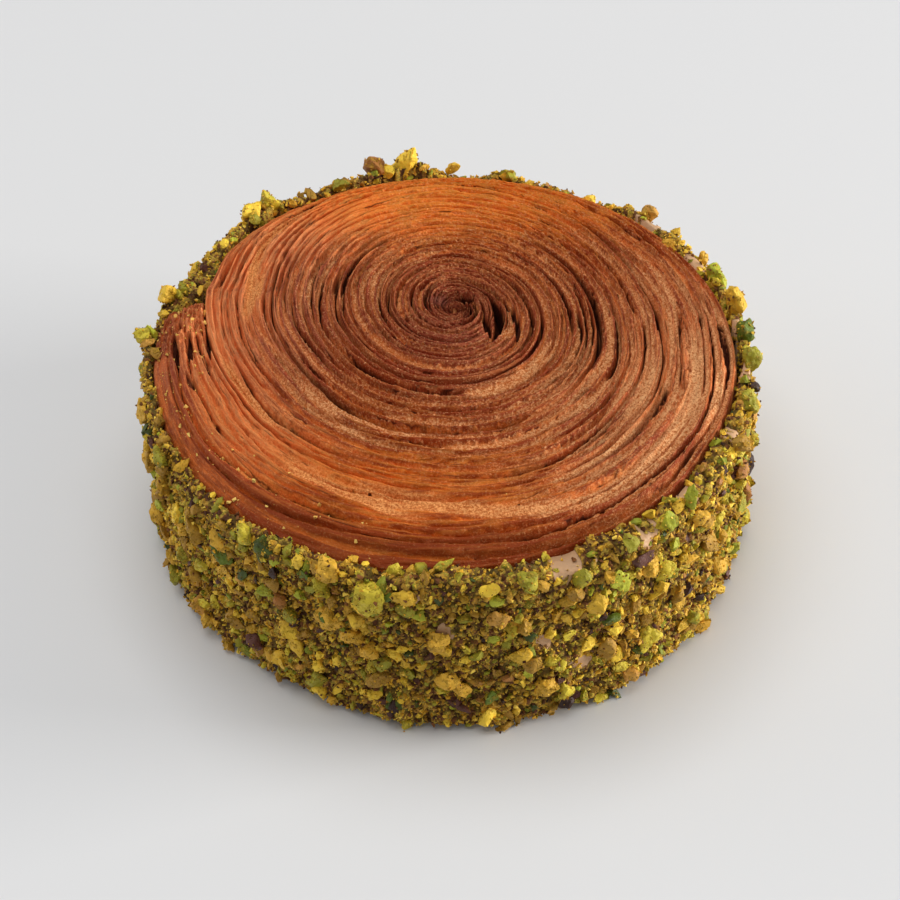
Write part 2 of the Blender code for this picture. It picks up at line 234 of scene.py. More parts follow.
class FinishGraph(Graph):
    """The node tree of a material, round its principled shader."""

    def __init__(self, name: str, **fixed: Union[float, tuple]) -> None:
        """Start a material.

        Args:
            name: Its name.
            fixed: Values on the shader's own sockets, with _ for a space.
        """
        self.material = bpy.data.materials.new(name)
        self.material.use_nodes = True
        super().__init__(self.material.node_tree)
        self.shader = self.tree.nodes["Principled BSDF"]
        for socket, value in fixed.items():
            self.shader.inputs[socket.replace("_", " ")].default_value = value
        self.place = self.node("ShaderNodeTexCoord", None, None, "Object")

    def attribute(self, name: str) -> Term:
        """A number stored on the mesh."""
        return self.node("ShaderNodeAttribute", {"attribute_name": name}, None, "Fac")

    def strip(self) -> Term:
        """The place along and across the rolled strip, in metres."""
        return self.node("ShaderNodeUVMap", {"uv_map": "strip"})

    def dress(self, colour: Value, roughness: Value, height: Value, depth: float) -> bpy.types.Material:
        """Wire the shader.

        Args:
            colour: Base colour.
            roughness: Roughness.
            height: Relief for the bump, 0 to 1.
            depth: Height of that relief in metres.

        Returns:
            The finished material.
        """
        bump = self.node("ShaderNodeBump", None, {"Strength": 1.0, "Distance": depth, "Height": height})
        self.feed(self.shader.inputs["Base Color"], colour)
        self.feed(self.shader.inputs["Roughness"], roughness)
        self.feed(self.shader.inputs["Normal"], bump)
        return self.material


class ShapeGraph(Graph):
    """A Geometry Nodes tree with named inputs, which turns one mesh into another."""

    KINDS = {float: "NodeSocketFloat", int: "NodeSocketInt",
             bpy.types.Material: "NodeSocketMaterial", bpy.types.Collection: "NodeSocketCollection"}

    def __init__(self, name: str, sizes: dict[str, Union[float, int, type]]) -> None:
        """Start the tree.

        Args:
            name: Its name.
            sizes: Each input's name and its usual value, or its type if it has none.
        """
        super().__init__(bpy.data.node_groups.new(name, "GeometryNodeTree"))
        face = self.tree.interface
        face.new_socket("Geometry", in_out="INPUT", socket_type="NodeSocketGeometry")
        face.new_socket("Geometry", in_out="OUTPUT", socket_type="NodeSocketGeometry")
        self.sockets: dict[str, str] = {}
        for label, usual in sizes.items():
            kind = usual if isinstance(usual, type) else type(usual)
            item = face.new_socket(label, in_out="INPUT", socket_type=self.KINDS[kind])
            if not isinstance(usual, type):
                item.default_value = usual
            self.sockets[label] = item.identifier
        self.entry = self.tree.nodes.new("NodeGroupInput")
        self.geometry = Term(self, self.entry.outputs["Geometry"])

    def size(self, label: str) -> Term:
        """A named input."""
        return Term(self, self.entry.outputs[label])

    def attribute(self, name: str) -> Term:
        """A number stored on the mesh."""
        return self.node("GeometryNodeInputNamedAttribute", {"data_type": "FLOAT"}, {"Name": name})

    def place(self) -> Term:
        """Each point's own place."""
        return self.node("GeometryNodeInputPosition")

    def store(self, name: str, value: Term) -> None:
        """Keep a number on the points under a name."""
        self.geometry = self.node("GeometryNodeStoreNamedAttribute",
                                  {"data_type": "FLOAT", "domain": "POINT"},
                                  {"Geometry": self.geometry, "Name": name, "Value": value})

    def move(self, offset: Term) -> None:
        """Shift the points."""
        self.geometry = self.node("GeometryNodeSetPosition", None,
                                  {"Geometry": self.geometry, "Offset": offset})

    def draw(self, low: Value, high: Value, seed: Value, kind: str = "FLOAT") -> Term:
        """A random number or vector for each point."""
        places = (2, 3, 1) if kind == "FLOAT" else (0, 1, 0)
        return self.node("FunctionNodeRandomValue", {"data_type": kind},
                         {places[0]: low, places[1]: high, "Seed": seed}, places[2])

    def close(self, finish: Term) -> None:
        """End the tree: real mesh with its material.

        Args:
            finish: The input that holds the material.
        """
        real = self.node("GeometryNodeRealizeInstances", None, {"Geometry": self.geometry})
        dressed = self.node("GeometryNodeSetMaterial", None, {"Geometry": real, "Material": finish})
        ending = self.tree.nodes.new("NodeGroupOutput")
        self.feed(ending.inputs[0], dressed)

    def run(self, source: bpy.types.Object, name: str,
            values: dict[str, Value]) -> bpy.types.Object:
        """Apply the tree to an object.

        Args:
            source: The object to start from, which stays as it is.
            name: Name of the new object.
            values: Values of the named inputs.

        Returns:
            A new object with the plain resulting mesh.
        """
        modifier = source.modifiers.new(self.tree.name, "NODES")
        modifier.node_group = self.tree
        for label, value in values.items():
            modifier[self.sockets[label]] = value
        bpy.context.view_layer.update()
        view = bpy.context.evaluated_depsgraph_get()
        mesh = bpy.data.meshes.new_from_object(source.evaluated_get(view),
                                               preserve_all_data_layers=True, depsgraph=view)
        source.modifiers.remove(modifier)
        mesh.name = name
        return link(name, mesh)


def link(name: str, mesh: bpy.types.Mesh) -> bpy.types.Object:
    """Put a mesh into the scene.

    Args:
        name: Name of the object.
        mesh: Its mesh.

    Returns:
        The object.
    """
    made = bpy.data.objects.new(name, mesh)
    bpy.context.scene.collection.objects.link(made)
    return made


def plain_mesh(name: str, points: Array, faces: Sequence[Sequence[int]],
               marks: dict[str, Array] | None = None) -> bpy.types.Object:
    """An object from points and faces.

    Args:
        name: Its name.
        points: One row of x, y, z for each point.
        faces: Point numbers round each face.
        marks: Numbers to store on the points, by name.

    Returns:
        The object, smooth shaded.
    """
    mesh = bpy.data.meshes.new(name)
    mesh.from_pydata([tuple(p) for p in points], [], faces)
    for label, values in (marks or {}).items():
        layer = mesh.attributes.new(label, "FLOAT", "POINT")
        layer.data.foreach_set("value", np.asarray(values, dtype=np.float32))
    mesh.polygons.foreach_set("use_smooth", [True] * len(mesh.polygons))
    return link(name, mesh)


def drop(*objects: bpy.types.Object) -> None:
    """Take helper objects out of the file."""
    for spare in objects:
        bpy.data.objects.remove(spare)


# ---- finishes -----------------------------------------------------------------
@dataclass(frozen=True)
class BakedCrust:
    """Laminated crust: orange flanks, browned crests, gaps drawn darker as painted shade, and pale open
    crumb.

    Streaks and flecks give their waves in a metre along and across the strip; the flecks are pale blisters
    and painted highlight.
    """

    name: str = "laminated_crust"
    specular: float = 0.12
    depth: float = 0.36 * MM
    streaks: Colour = (260.0, 2300.0, 1.0)
    flecks: Colour = (1200.0, 3300.0, 1.0)
    mottling: float = 150.0
    flank: Colour = (0.80, 0.175, 0.016)
    flank_rosy: Colour = (0.69, 0.170, 0.048)
    golden: Colour = (0.93, 0.310, 0.034)
    golden_rosy: Colour = (0.90, 0.340, 0.118)
    crest: Colour = (0.32, 0.046, 0.004)
    crest_rosy: Colour = (0.30, 0.052, 0.022)
    tongue: Colour = (0.15, 0.050, 0.036)
    # Painted shade: near-black drawn into slits, seams, hollows, cracks, creases, pits and holes.
    gap: Colour = (0.060, 0.011, 0.003)
    crumb: Colour = (1.0, 0.53, 0.235)
    crumb_orange: Colour = (0.95, 0.38, 0.100)
    crumb_dark: Colour = (0.56, 0.150, 0.032)
    # Near-black brown: scorching where the crust is browned most, and painted shade in pinholes and on the
    # front rim.
    scorch_and_shade: Colour = (0.15, 0.024, 0.006)

    def material(self) -> bpy.types.Material:
        """Build the material.

        Returns:
            The crust's material.
        """
        g = FinishGraph(self.name, Specular_IOR_Level=self.specular)
        strip = g.strip()
        streak = g.noise(g.scaled(strip, self.streaks), 1.0, 4.0, 0.68, True)
        blister_and_highlight_fleck = g.noise(g.scaled(strip, self.flecks), 1.0, 2.0, 0.6, True)
        mottle = g.noise(g.place, self.mottling, 3.0)
        grain = g.noise(g.place, GRAIN, 3.0, 0.7)
        crest, gap, crumb, rough = (g.attribute(n) for n in ("crest", "gap", "crumb", "rough"))
        bake, flake, calm, rosy = (g.attribute(n) for n in ("bake", "flake", "calm", "rosy"))
        golden, flank, crest_skin = (g.blend(rosy, *pair) for pair in (
            (self.golden, self.golden_rosy), (self.flank, self.flank_rosy), (self.crest, self.crest_rosy)))
        baked = (bake + 0.26 * rough) * (0.05 + 1.15 * crest) + (mottle - 0.5) * 0.5 + (streak - 0.5) * 0.9
        skin = g.blend(g.ease(streak * 0.6 + mottle * 0.4, 0.44, 0.62), flank, golden)
        skin = g.blend(g.ease(baked, 0.06, 0.56), skin, crest_skin)
        skin = g.blend(flake * (0.50 - 0.35 * bake), skin, golden)
        pale_crumb = g.blend(rough, self.crumb_orange, self.crumb)
        open_crumb = g.blend(g.ease(grain - 0.14 * bake, 0.34, 0.62), self.crumb_dark, pale_crumb)
        # Pale flecks: blisters, and painted highlight on the skin.
        pale = g.ease(blister_and_highlight_fleck, 0.58, 0.70) * (0.15 + 0.25 * rough)
        skin = g.blend(g.clip(crumb * 1.1 + pale * (1.0 - gap)), skin, open_crumb)
        # Painted shade in pinholes: fine near-black dots over the skin.
        pinholes = g.ease(grain, 0.48, 0.30) * (0.14 + 0.20 * rough) * (1.0 - 0.8 * crumb)
        # Pale specks on the grain: pale crumb, and painted highlight.
        pale_specks_and_highlight = g.ease(grain, 0.54, 0.68) * (0.10 + 0.45 * rough) * (1.0 - gap)
        # Painted shade on the front rim, and real burning where the heart is browned most.
        burnt_and_rim_shade = g.ease(bake, 0.70, 0.98) * (0.05 + 0.50 * streak)
        for share, paint in ((pinholes, self.scorch_and_shade), (pale_specks_and_highlight, self.crumb), (burnt_and_rim_shade, self.scorch_and_shade),
                             (calm * (0.35 + 0.60 * streak), self.tongue)):
            skin = g.blend(share, skin, paint)
        # Painted shade: the gap mark turns the skin to the gap colour.
        colour = g.blend(g.ease(gap, 0.30, 0.90), skin, self.gap)
        gloss = 0.48 + 0.30 * crumb + (grain - 0.5) * 0.3 + 0.2 * gap
        height = streak * 0.6 + grain * (0.25 + 0.5 * rough + 0.3 * crumb)
        return g.dress(colour, gloss, height, self.depth)


@dataclass(frozen=True)
class CoatBed:
    """The bed under the chopped nuts: fine crumb in glaze, with bare glazed places and painted shade in its
    hollows.
    """

    name: str = "crumb_and_glaze"
    specular: float = 0.35
    depth: float = 0.4 * MM
    bits: float = 1700.0
    mustard: Colour = (0.62, 0.355, 0.045)
    pale: Colour = (0.82, 0.56, 0.075)
    olive: Colour = (0.42, 0.33, 0.030)
    brown: Colour = (0.22, 0.082, 0.022)
    # Painted shade in the bed's hollows.
    hollow_shade: Colour = (0.048, 0.016, 0.005)
    glaze: Colour = (0.56, 0.33, 0.17)

    def material(self) -> bpy.types.Material:
        """Build the material.

        Returns:
            The bed's material.
        """
        g = FinishGraph(self.name, Specular_IOR_Level=self.specular)
        grain = g.noise(g.place, GRAIN, 3.0, 0.7)
        bit = g.cells(g.place, self.bits, "Color")
        bare, deep, tone = g.attribute("bare"), g.attribute("deep"), g.attribute("tone")
        mixed = g.clip(tone * 0.55 + bit * 0.45)
        crumb: Value = self.brown
        for share, paint in ((g.ease(mixed, 0.30, 0.42), self.mustard),
                             (g.ease(mixed, 0.50, 0.58), self.olive), (g.ease(mixed, 0.62, 0.70), self.pale),
                             (g.ease(grain, 0.58, 0.36) * 0.5, self.brown),
                             # Painted shade: where the deep mark is high the bed's hollows are drawn
                             # near-black.
                             (g.ease(deep, 0.30, 0.95) * 0.75, self.hollow_shade)):
            crumb = g.blend(share, crumb, paint)
        glazed = g.ease(bare + (grain - 0.5) * 0.5, 0.35, 0.6)
        colour = g.blend(glazed, crumb, self.glaze)
        rough = 0.85 - 0.35 * glazed + (grain - 0.5) * 0.1
        height = (grain + (1.0 - g.cells(g.place, self.bits)) * 0.6) * (1.0 - 0.80 * glazed)
        return g.dress(colour, rough, height, self.depth)


@dataclass(frozen=True)
class NutFlesh:
    """Chopped pistachio of one kind: waxy flesh, darker skin patches and clinging crumb."""

    name: str
    flesh: Colour
    shade: Colour
    dust: Colour = (0.66, 0.385, 0.034)
    dusting: float = 0.5
    roughness: float = 0.5
    specular: float = 0.3
    depth: float = 0.32 * MM
    patches: float = 420.0
    clumps: float = 800.0

    def material(self) -> bpy.types.Material:
        """Build the material.

        Returns:
            The nut's material.
        """
        g = FinishGraph(self.name, Specular_IOR_Level=self.specular)
        tone = g.attribute("tone")
        patch = g.noise(g.place, self.patches, 2.0)
        grain = g.noise(g.place, GRAIN, 3.0, 0.65)
        cover = g.noise(g.place, self.clumps, 2.0)
        flesh = g.blend(g.ease(patch + (tone - 0.5) * 0.9, 0.30, 0.72), self.flesh, self.shade)
        start, full = 0.62 - 0.2 * self.dusting, 0.72 - 0.1 * self.dusting
        dusty = g.ease(cover + (grain - 0.5) * 0.6, start, full)
        colour = g.blend(dusty * self.dusting, flesh, self.dust)
        rough = self.roughness + 0.3 * dusty + (grain - 0.5) * 0.2
        return g.dress(colour, rough, grain * (0.6 + dusty) + patch * 1.2, self.depth)


class NutKind(Enum):
    """The kinds of chopped piece, each with its finish and its share of the pieces."""

    MUSTARD = (NutFlesh("nut_mustard", (0.76, 0.42, 0.034), (0.42, 0.22, 0.022)), 0.32)
    YELLOW = (NutFlesh("nut_yellow", (1.0, 0.66, 0.050), (0.74, 0.44, 0.030), dusting=0.3), 0.21)
    YELLOW_GREEN = (NutFlesh("nut_yellow_green", (0.70, 0.54, 0.036), (0.34, 0.30, 0.018)), 0.26)
    LIME = (NutFlesh("nut_lime", (0.50, 0.50, 0.030), (0.26, 0.28, 0.018), dusting=0.3), 0.08)
    DARK_GREEN = (NutFlesh("nut_dark_green", (0.12, 0.165, 0.010), (0.055, 0.075, 0.008),
                           dusting=0.35, roughness=0.42), 0.04)
    TAN = (NutFlesh("nut_tan", (0.66, 0.33, 0.050), (0.40, 0.16, 0.032)), 0.04)
    SKIN = (NutFlesh("nut_skin", (0.045, 0.018, 0.012), (0.12, 0.040, 0.025),
                     dusting=0.15, roughness=0.45), 0.05)

    @property
    def finish(self) -> NutFlesh:
        """The kind's finish."""
        return self.value[0]

    @property
    def share(self) -> float:
        """The kind's share of all pieces."""
        return self.value[1]


class CrumbKind(Enum):
    """The kinds of loose crumb: finish, and the range of random draws that it takes."""

    MUSTARD = (NutFlesh("crumb_mustard", (0.80, 0.43, 0.028), (0.46, 0.235, 0.018),
                        dusting=0.2, roughness=0.8), 0.0, 0.40)
    PALE = (NutFlesh("crumb_pale", (1.0, 0.69, 0.095), (0.80, 0.49, 0.045),
                     dusting=0.2, roughness=0.8), 0.40, 0.70)
    BROWN = (NutFlesh("crumb_brown", (0.22, 0.080, 0.018), (0.078, 0.024, 0.008),
                      dusting=0.2, roughness=0.8), 0.70, 1.0)


# ---- the rolled strip ---------------------------------------------------------
@dataclass(frozen=True)
class Spiral:
    """The rule of the rolled strip, with the CAD's own numbers.

    A place on the top is a turn, a lane from 0 at that turn's outer edge to 1 at its
    inner edge, and t, the share of a turn counted from the strip's loose end.
    """

    radius: float = 49.5 * MM
    height: float = 36.0 * MM
    centre: tuple[float, float] = (1.5 * MM, 12.0 * MM)
    start: float = math.radians(172.0)
    edges: tuple[float, ...] = (1.0, 0.92, 0.666, 0.435, 0.235, 0.10, 0.04, 0.0, 0.0, 0.0)
    uneven: tuple[tuple[float, float], ...] = ((0.0369, -0.1651), (-0.0309, -0.0719), (-0.0064, -0.003))
    bulge: float = 0.024

    def reach(self, heading: Array) -> Array:
        """Distance from the spiral's centre to the round outline."""
        along = self.centre[0] * np.cos(heading) + self.centre[1] * np.sin(heading)
        return -along + np.sqrt(along ** 2 + self.radius ** 2 - self.centre[0] ** 2 - self.centre[1] ** 2)

    def sway(self, t: Array) -> Array:
        """Share by which a turn runs wide or tight.

        Args:
            t: Shares of a turn.

        Returns:
            The share, 0 where the turn runs even.
        """
        angle = 2.0 * math.pi * t
        swing = sum(c * np.cos((n + 1) * angle) + s * np.sin((n + 1) * angle)
                    for n, (c, s) in enumerate(self.uneven))
        return swing - sum(c for c, _ in self.uneven)

    def edge(self, turn: Array, t: Array) -> Array:
        """Outer edge of a turn, as a share of the reach.

        Args:
            turn: Whole turns.
            t: Shares of a turn.

        Returns:
            The share, 1 on the outline.
        """
        stops = np.asarray(self.edges)
        even = (stops[turn] + (stops[turn + 1] - stops[turn]) * t) * (1.0 + self.sway(t))
        tuck = (1.0 - stops[1]) * (ease(0.93, 1.0, t) + 1.0 - ease(0.0, 0.018, t))
        first = 1.0 - tuck + self.bulge * ease(0.004, 0.03, t) * (1.0 - ease(0.03, 0.10, t))
        return np.where(turn == 0, first, even)

    def place(self, turn: Array, lane: Array, t: Array) -> dict[str, Array]:
        """Where places on the strip are.

        Args:
            turn: Whole turns.
            lane: Shares of the strip's width.
            t: Shares of a turn.

        Returns:
            Arrays named x, y, share, heading and width.
        """
        outer, inner = self.edge(turn, t), self.edge(turn + 1, t)
        share = outer + (inner - outer) * lane
        heading = self.start + 2.0 * math.pi * t
        reach = self.reach(heading)
        return {"x": self.centre[0] + share * reach * np.cos(heading),
                "y": self.centre[1] + share * reach * np.sin(heading),
                "share": share, "heading": heading, "width": (outer - inner) * reach}

    def runs(self, along: Array) -> Array:
        """Length of the strip up to each place along it.

        Args:
            along: Places, in turns from the loose end.

        Returns:
            The lengths in metres.
        """
        fine = np.linspace(0.0, len(self.edges) - 2.001, 4000)
        turn = np.floor(fine).astype(int)
        mid = self.place(turn, np.full(fine.shape, 0.5), fine - turn)
        steps = np.hypot(np.diff(mid["x"]), np.diff(mid["y"]))
        return np.interp(along, fine, np.concatenate([[0.0], np.cumsum(steps)]))


@dataclass(frozen=True)
class Cut:
    """A gap where layers have parted: a line on the top (mm), its half width and depth."""

    line: tuple[tuple[float, float], ...]
    width: float
    depth: float

    def at(self, x: Array, y: Array) -> Array:
        """Depth of the gap at places on the top.

        Args:
            x: Places, metres.
            y: Places, metres.

        Returns:
            The depth in metres, 0 away from the gap.
        """
        points = np.array(self.line) * MM
        legs = np.hypot(*np.diff(points, axis=0).T)
        starts = np.concatenate([[0.0], np.cumsum(legs)])
        nearest = np.full(np.shape(x), 1.0)
        along = np.zeros(np.shape(x))
        for i, leg in enumerate(legs):
            step = (points[i + 1] - points[i]) / leg
            part = np.clip((x - points[i][0]) * step[0] + (y - points[i][1]) * step[1], 0.0, leg)
            gone = np.hypot(x - points[i][0] - part * step[0], y - points[i][1] - part * step[1])
            along = np.where(gone < nearest, (starts[i] + part) / starts[-1], along)
            nearest = np.minimum(gone, nearest)
        girth = self.width * MM * np.sin(math.pi * np.clip(along, 0.06, 0.94)) ** 0.6
        return self.depth * MM * np.exp(-(nearest / girth) ** 4)


@dataclass(frozen=True)
class CrumbArc:
    """A stretch of open pale crumb between crests: (turns along the strip, lane) and half width."""

    line: tuple[tuple[float, float], ...]
    width: float

    def at(self, along: Array, lane: Array) -> Array:
        """How open the crumb is at places on the strip.

        Args:
            along: Turns along the strip.
            lane: Lanes.

        Returns:
            1 in the open crumb, 0 away from it.
        """
        turns, lanes = np.array(self.line).T
        middle = np.interp(along, turns, lanes)
        ends = ease(turns[0], turns[0] + 0.03, along) * (1.0 - ease(turns[-1] - 0.03, turns[-1], along))
        return ends * np.exp(-((lane - middle) / self.width) ** 4)


@dataclass(frozen=True)
class Toast:
    """A round patch drawn darker or paler than the rest, for browning and for painted shade on the front rim:
    centre and radius in mm, and how much.
    """

    x: float
    y: float
    radius: float
    much: float

    def at(self, x: Array, y: Array) -> Array:
        """How much darker each place is."""
        gone = ((x - self.x * MM) ** 2 + (y - self.y * MM) ** 2) / (self.radius * MM) ** 2
        return self.much * np.exp(-gone)


@dataclass(frozen=True)
class Crests:
    """Where a point lies among the layers' crests; lengths are metres."""

    phase: Term  # layers counted across the strip
    layer: Term  # the same in whole layers
    spacing: Term  # from one crest to the next
    aside: Term  # from the middle of the crest
    half: Term  # half the crest's thickness
    ridge: Term  # 1 on the crest, 0 beside it
    full: Term  # 1 where the layers are wide enough to show


class LayerRelief(ShapeGraph):
    """The tree that raises the layers, opens the gaps and sinks the crumb."""

    def __init__(self, fold_width: float) -> None:
        """Build the tree.

        Args:
            fold_width: Usual width of the fold along the strip's edge.
        """
        super().__init__("layer_relief", {
            "Ridge": 0.30 * MM, "Slit": 0.22 * MM, "Slit Depth": 2.0 * MM, "Turn Gap": 1.8 * MM,
            "Crown": 0.90 * MM, "Valley": 0.55 * MM, "Step": 0.45 * MM, "Fine": 0.42 * MM,
            "Flake": 0.30 * MM, "Crack": 0.50 * MM, "Grit": 0.26 * MM, "Wander": 2.6, "Sway": 0.9 * MM,
            "Crinkle": 0.40 * MM, "Pores": 2.4 * MM, "Web": 0.9 * MM, "Fold": 0.5 * MM,
            "Fold Width": fold_width, "Side": 1.0, "Ceiling": 9.0 * MM, "Finish": bpy.types.Material})
        self.along, self.lane, self.width = (self.attribute(n) for n in ("run", "lane", "width"))
        self.rough, self.layers, self.fold = (self.attribute(n) for n in ("rough", "layers", "fold"))
        self.pores, self.band, self.pit = (self.attribute(n) for n in ("pores", "band", "pit"))
        self.spot = self.place()
        self.lively = 1.0 - self.attribute("calm")
        self.plain = self.lively * (1.0 - 0.62 * self.pores)
        rise = self.rise()
        self.sway()
        self.move(self.vector(0.0, 0.0, rise * self.size("Side")))
        self.close(self.size("Finish"))

    def drift(self, waves: float, across: Value) -> Term:
        """Noise that changes slowly along the strip, and freely from layer to layer."""
        return self.noise(self.vector(self.along * waves, across), flat=True)

    def torn(self, waves: float, offset: float, width: float) -> Term:
        """Thin broken lines along the strip, where slow noise crosses its mean steeply.

        Args:
            waves: Waves in one turn.
            offset: Where the noise is read, so that two sets differ.
            width: Width of the lines, as a share of the noise's range.

        Returns:
            1 on a line, 0 away from it.
        """
        even = self.lane * self.layers * 2.6
        here, beside = (self.noise(self.vector(self.along * waves, even + shift), 1.0, 1.0, 0.5, True)
                        for shift in (offset, offset + 0.25))
        steep = self.ease(abs(here - beside), 0.025, 0.06)
        return (1.0 - self.ease(abs(here - 0.5), 0.15 * width, width)) * steep

    def crests(self) -> Crests:
        """Lay the layers across the strip.

        Returns:
            Where each point lies among them.
        """
        inside = self.ease(self.lane * (1.0 - self.lane), 0.0, 0.12)
        spacing = self.width / self.layers
        crinkle = self.centred(self.noise(self.spot, 760.0, 3.0, 0.65)) * self.size("Crinkle") \
            * (0.4 + 0.6 * self.rough)
        wander = (self.drift(22.0, self.lane * 2.6) - 0.5) * self.size("Wander") * inside
        phase = self.lane * self.layers + wander + crinkle / self.math("MAXIMUM", spacing, 0.3 * MM) * inside
        layer = self.math("FLOOR", phase)
        aside = (phase - layer - 0.5) * spacing
        half = self.size("Ridge") * (0.55 + 0.9 * self.drift(26.0, layer * 3.1)) * (2.5 - 1.5 * self.rough)
        half = self.math("MINIMUM", half, spacing * 0.38)
        ridge = 1.0 - self.ease(abs(aside), half * 0.5, half * 1.3)
        full = self.ease(spacing, 0.10 * MM, 0.7 * MM) * (1.0 - 0.80 * self.fold)
        return Crests(phase, layer, spacing, aside, half, ridge, full)

    def gaps(self, c: Crests) -> tuple[Term, Term]:
        """Slits on one side of a crest, and seams where two turns meet.

        Args:
            c: The crests.

        Returns:
            1 in a slit, and 1 in a seam.
        """
        lean = self.ease(self.drift(13.0, c.layer * 2.3 + 4.0), 0.45, 0.55) * 2.0 - 1.0
        parted = (0.48 + 0.52 * self.ease(self.drift(26.0, c.layer * 7.7), 0.38, 0.56)) * lean * lean * c.full
        girth = self.size("Slit") * (0.4 + 1.2 * self.drift(60.0, c.layer * 3.3)) * (0.35 + 0.65 * parted)
        slit = parted * self.bell(abs(c.aside - lean * c.half * 1.45) / girth)
        near = self.math("FLOOR", c.phase + 0.5)
        border = self.math("LESS_THAN", near, 0.5) + self.math("GREATER_THAN", near, self.layers - 0.5)
        seam = border * self.ease(self.width, 0.5 * MM, 2.0 * MM) \
            * self.bell(abs(c.phase - near) * c.spacing / (girth * 1.4))
        return slit, seam

    def open_places(self, c: Crests) -> tuple[Term, Term]:
        """Open crumb, and hollows between the crests.

        Args:
            c: The crests.

        Returns:
            1 in open crumb, and 1 in a hollow.
        """
        wide = self.ease(c.spacing - c.half * 2.0, 0.1 * MM, 0.7 * MM) * (0.30 + 0.70 * self.rough) \
            * (1.0 - self.fold)
        chance = self.ease(self.drift(16.0, c.layer * 4.7 + 9.0), 0.33, 0.53)
        crumb = self.clip(self.band + (1.0 - c.ridge) * wide * (0.25 + 0.75 * chance))
        hollow = 0.4 + 0.6 * self.ease(self.drift(34.0, c.layer * 5.3), 0.35, 0.6)
        return crumb, (1.0 - c.ridge) ** 2.0 * (1.0 - crumb) * c.full * hollow

    def holes(self, c: Crests) -> tuple[Term, Term]:
        """Holes in the loose end, with webs between them.

        Args:
            c: The crests.

        Returns:
            1 in a hole, and 1 on a web.
        """
        holes = self.ease(self.noise(self.spot, 420.0, 2.0, 0.6), 0.50, 0.42) * self.pores \
            * (0.5 - 0.4 * c.ridge)
        web = (1.0 - self.ease(abs(self.noise(self.spot, 230.0, 2.0, 0.6) - 0.5), 0.015, 0.075)) * self.pores
        return holes, web

    def folded(self) -> tuple[Term, Term]:
        """The fold along the strip's edge.

        Returns:
            How far it rises, and 1 in the crease on its inner side.
        """
        inward = self.lane * self.width / self.size("Fold Width")
        brim = self.fold * self.bell((inward - 0.82) * 14.0)
        return self.fold * self.size("Fold") * (4.0 * inward * (1.0 - inward) - 1.5 * brim), brim

    def rise(self) -> Term:
        """The height of it all, once what the finish reads is stored.

        Returns:
            How far each point is raised.
        """
        c = self.crests()
        ridge, full, plain, lively, band = c.ridge, c.full, self.plain, self.lively, self.band
        slit, seam = self.gaps(c)
        crumb, valley = self.open_places(c)
        holes, web = self.holes(c)
        folded, brim = self.folded()
        bare = 1.0 - crumb
        flake = self.torn(45.0, 31.0, 0.11) * full
        crack = self.torn(38.0, 77.0, 0.045) * full * self.ease(self.drift(30.0, c.layer * 6.1), 0.34, 0.56)
        step = self.centred(self.drift(18.0, c.layer * 9.1 + 3.0))
        strip = self.vector(self.along * 170.0, self.lane * self.width * 2500.0)
        fine = self.centred(self.noise(strip, 1.0, 3.0, 0.65, True))
        grit = self.centred(self.noise(self.spot, 1250.0, 3.0, 0.7))
        rise = self.size("Crown") * full * (ridge - 0.55) * (1.0 - 0.8 * band) * plain \
            + self.size("Step") * full * step * plain \
            + self.size("Fine") * fine * lively * (0.5 + 0.5 * full) \
            + (flake * self.size("Flake") - crack * self.size("Crack")) * bare * plain \
            + web * self.size("Web") + folded \
            - (slit * self.size("Slit Depth") + seam * self.size("Turn Gap")
               + valley * self.size("Valley")) * plain \
            + grit * self.size("Grit") * (0.12 + 0.55 * self.rough + 0.8 * crumb) * lively \
            - holes * self.size("Pores") - band * 0.35 * MM - self.pit
        rise = self.math("MINIMUM", rise, self.size("Ceiling")) * self.attribute("free")
        gap = self.math("MAXIMUM", slit, seam)
        pitted = 0.9 * self.ease(self.pit, 0.3 * MM, 2.0 * MM)
        # The gap mark says where the finish paints shade: slits, seams, part of the hollows and cracks, the
        # fold's crease, pits and holes.
        self.store("gap", self.clip((gap + 0.40 * valley + 0.80 * crack * bare) * plain + 0.6 * brim
                                    + pitted + holes * (0.9 - 0.8 * web)))
        self.store("flake", self.clip(flake * bare * plain + 0.6 * web - gap))
        self.store("crumb", crumb * plain * (1.0 - gap))
        self.store("crest", self.clip(ridge * plain * (1.0 - self.fold) + 0.25 * step * plain
                                      + 0.10 * self.pores + (1.0 - lively) + 0.30 * self.fold))
        return rise

    def sway(self) -> None:
        """Let the strip run a little off its rule, but for the rim and the heart."""
        share = self.attribute("share")
        clouds = self.node("ShaderNodeVectorMath", {"operation": "SUBTRACT"},
                           {0: self.noise(self.spot, 42.0, 2.0, out="Color"), 1: (0.5, 0.5, 0.5)})
        loose = (1.0 - self.ease(share, 0.88, 0.97)) * self.ease(share, 0.02, 0.2) * self.attribute("free")
        self.move(self.scaled(self.scaled(clouds, (2.0, 2.0, 0.0)), loose * self.size("Sway")))


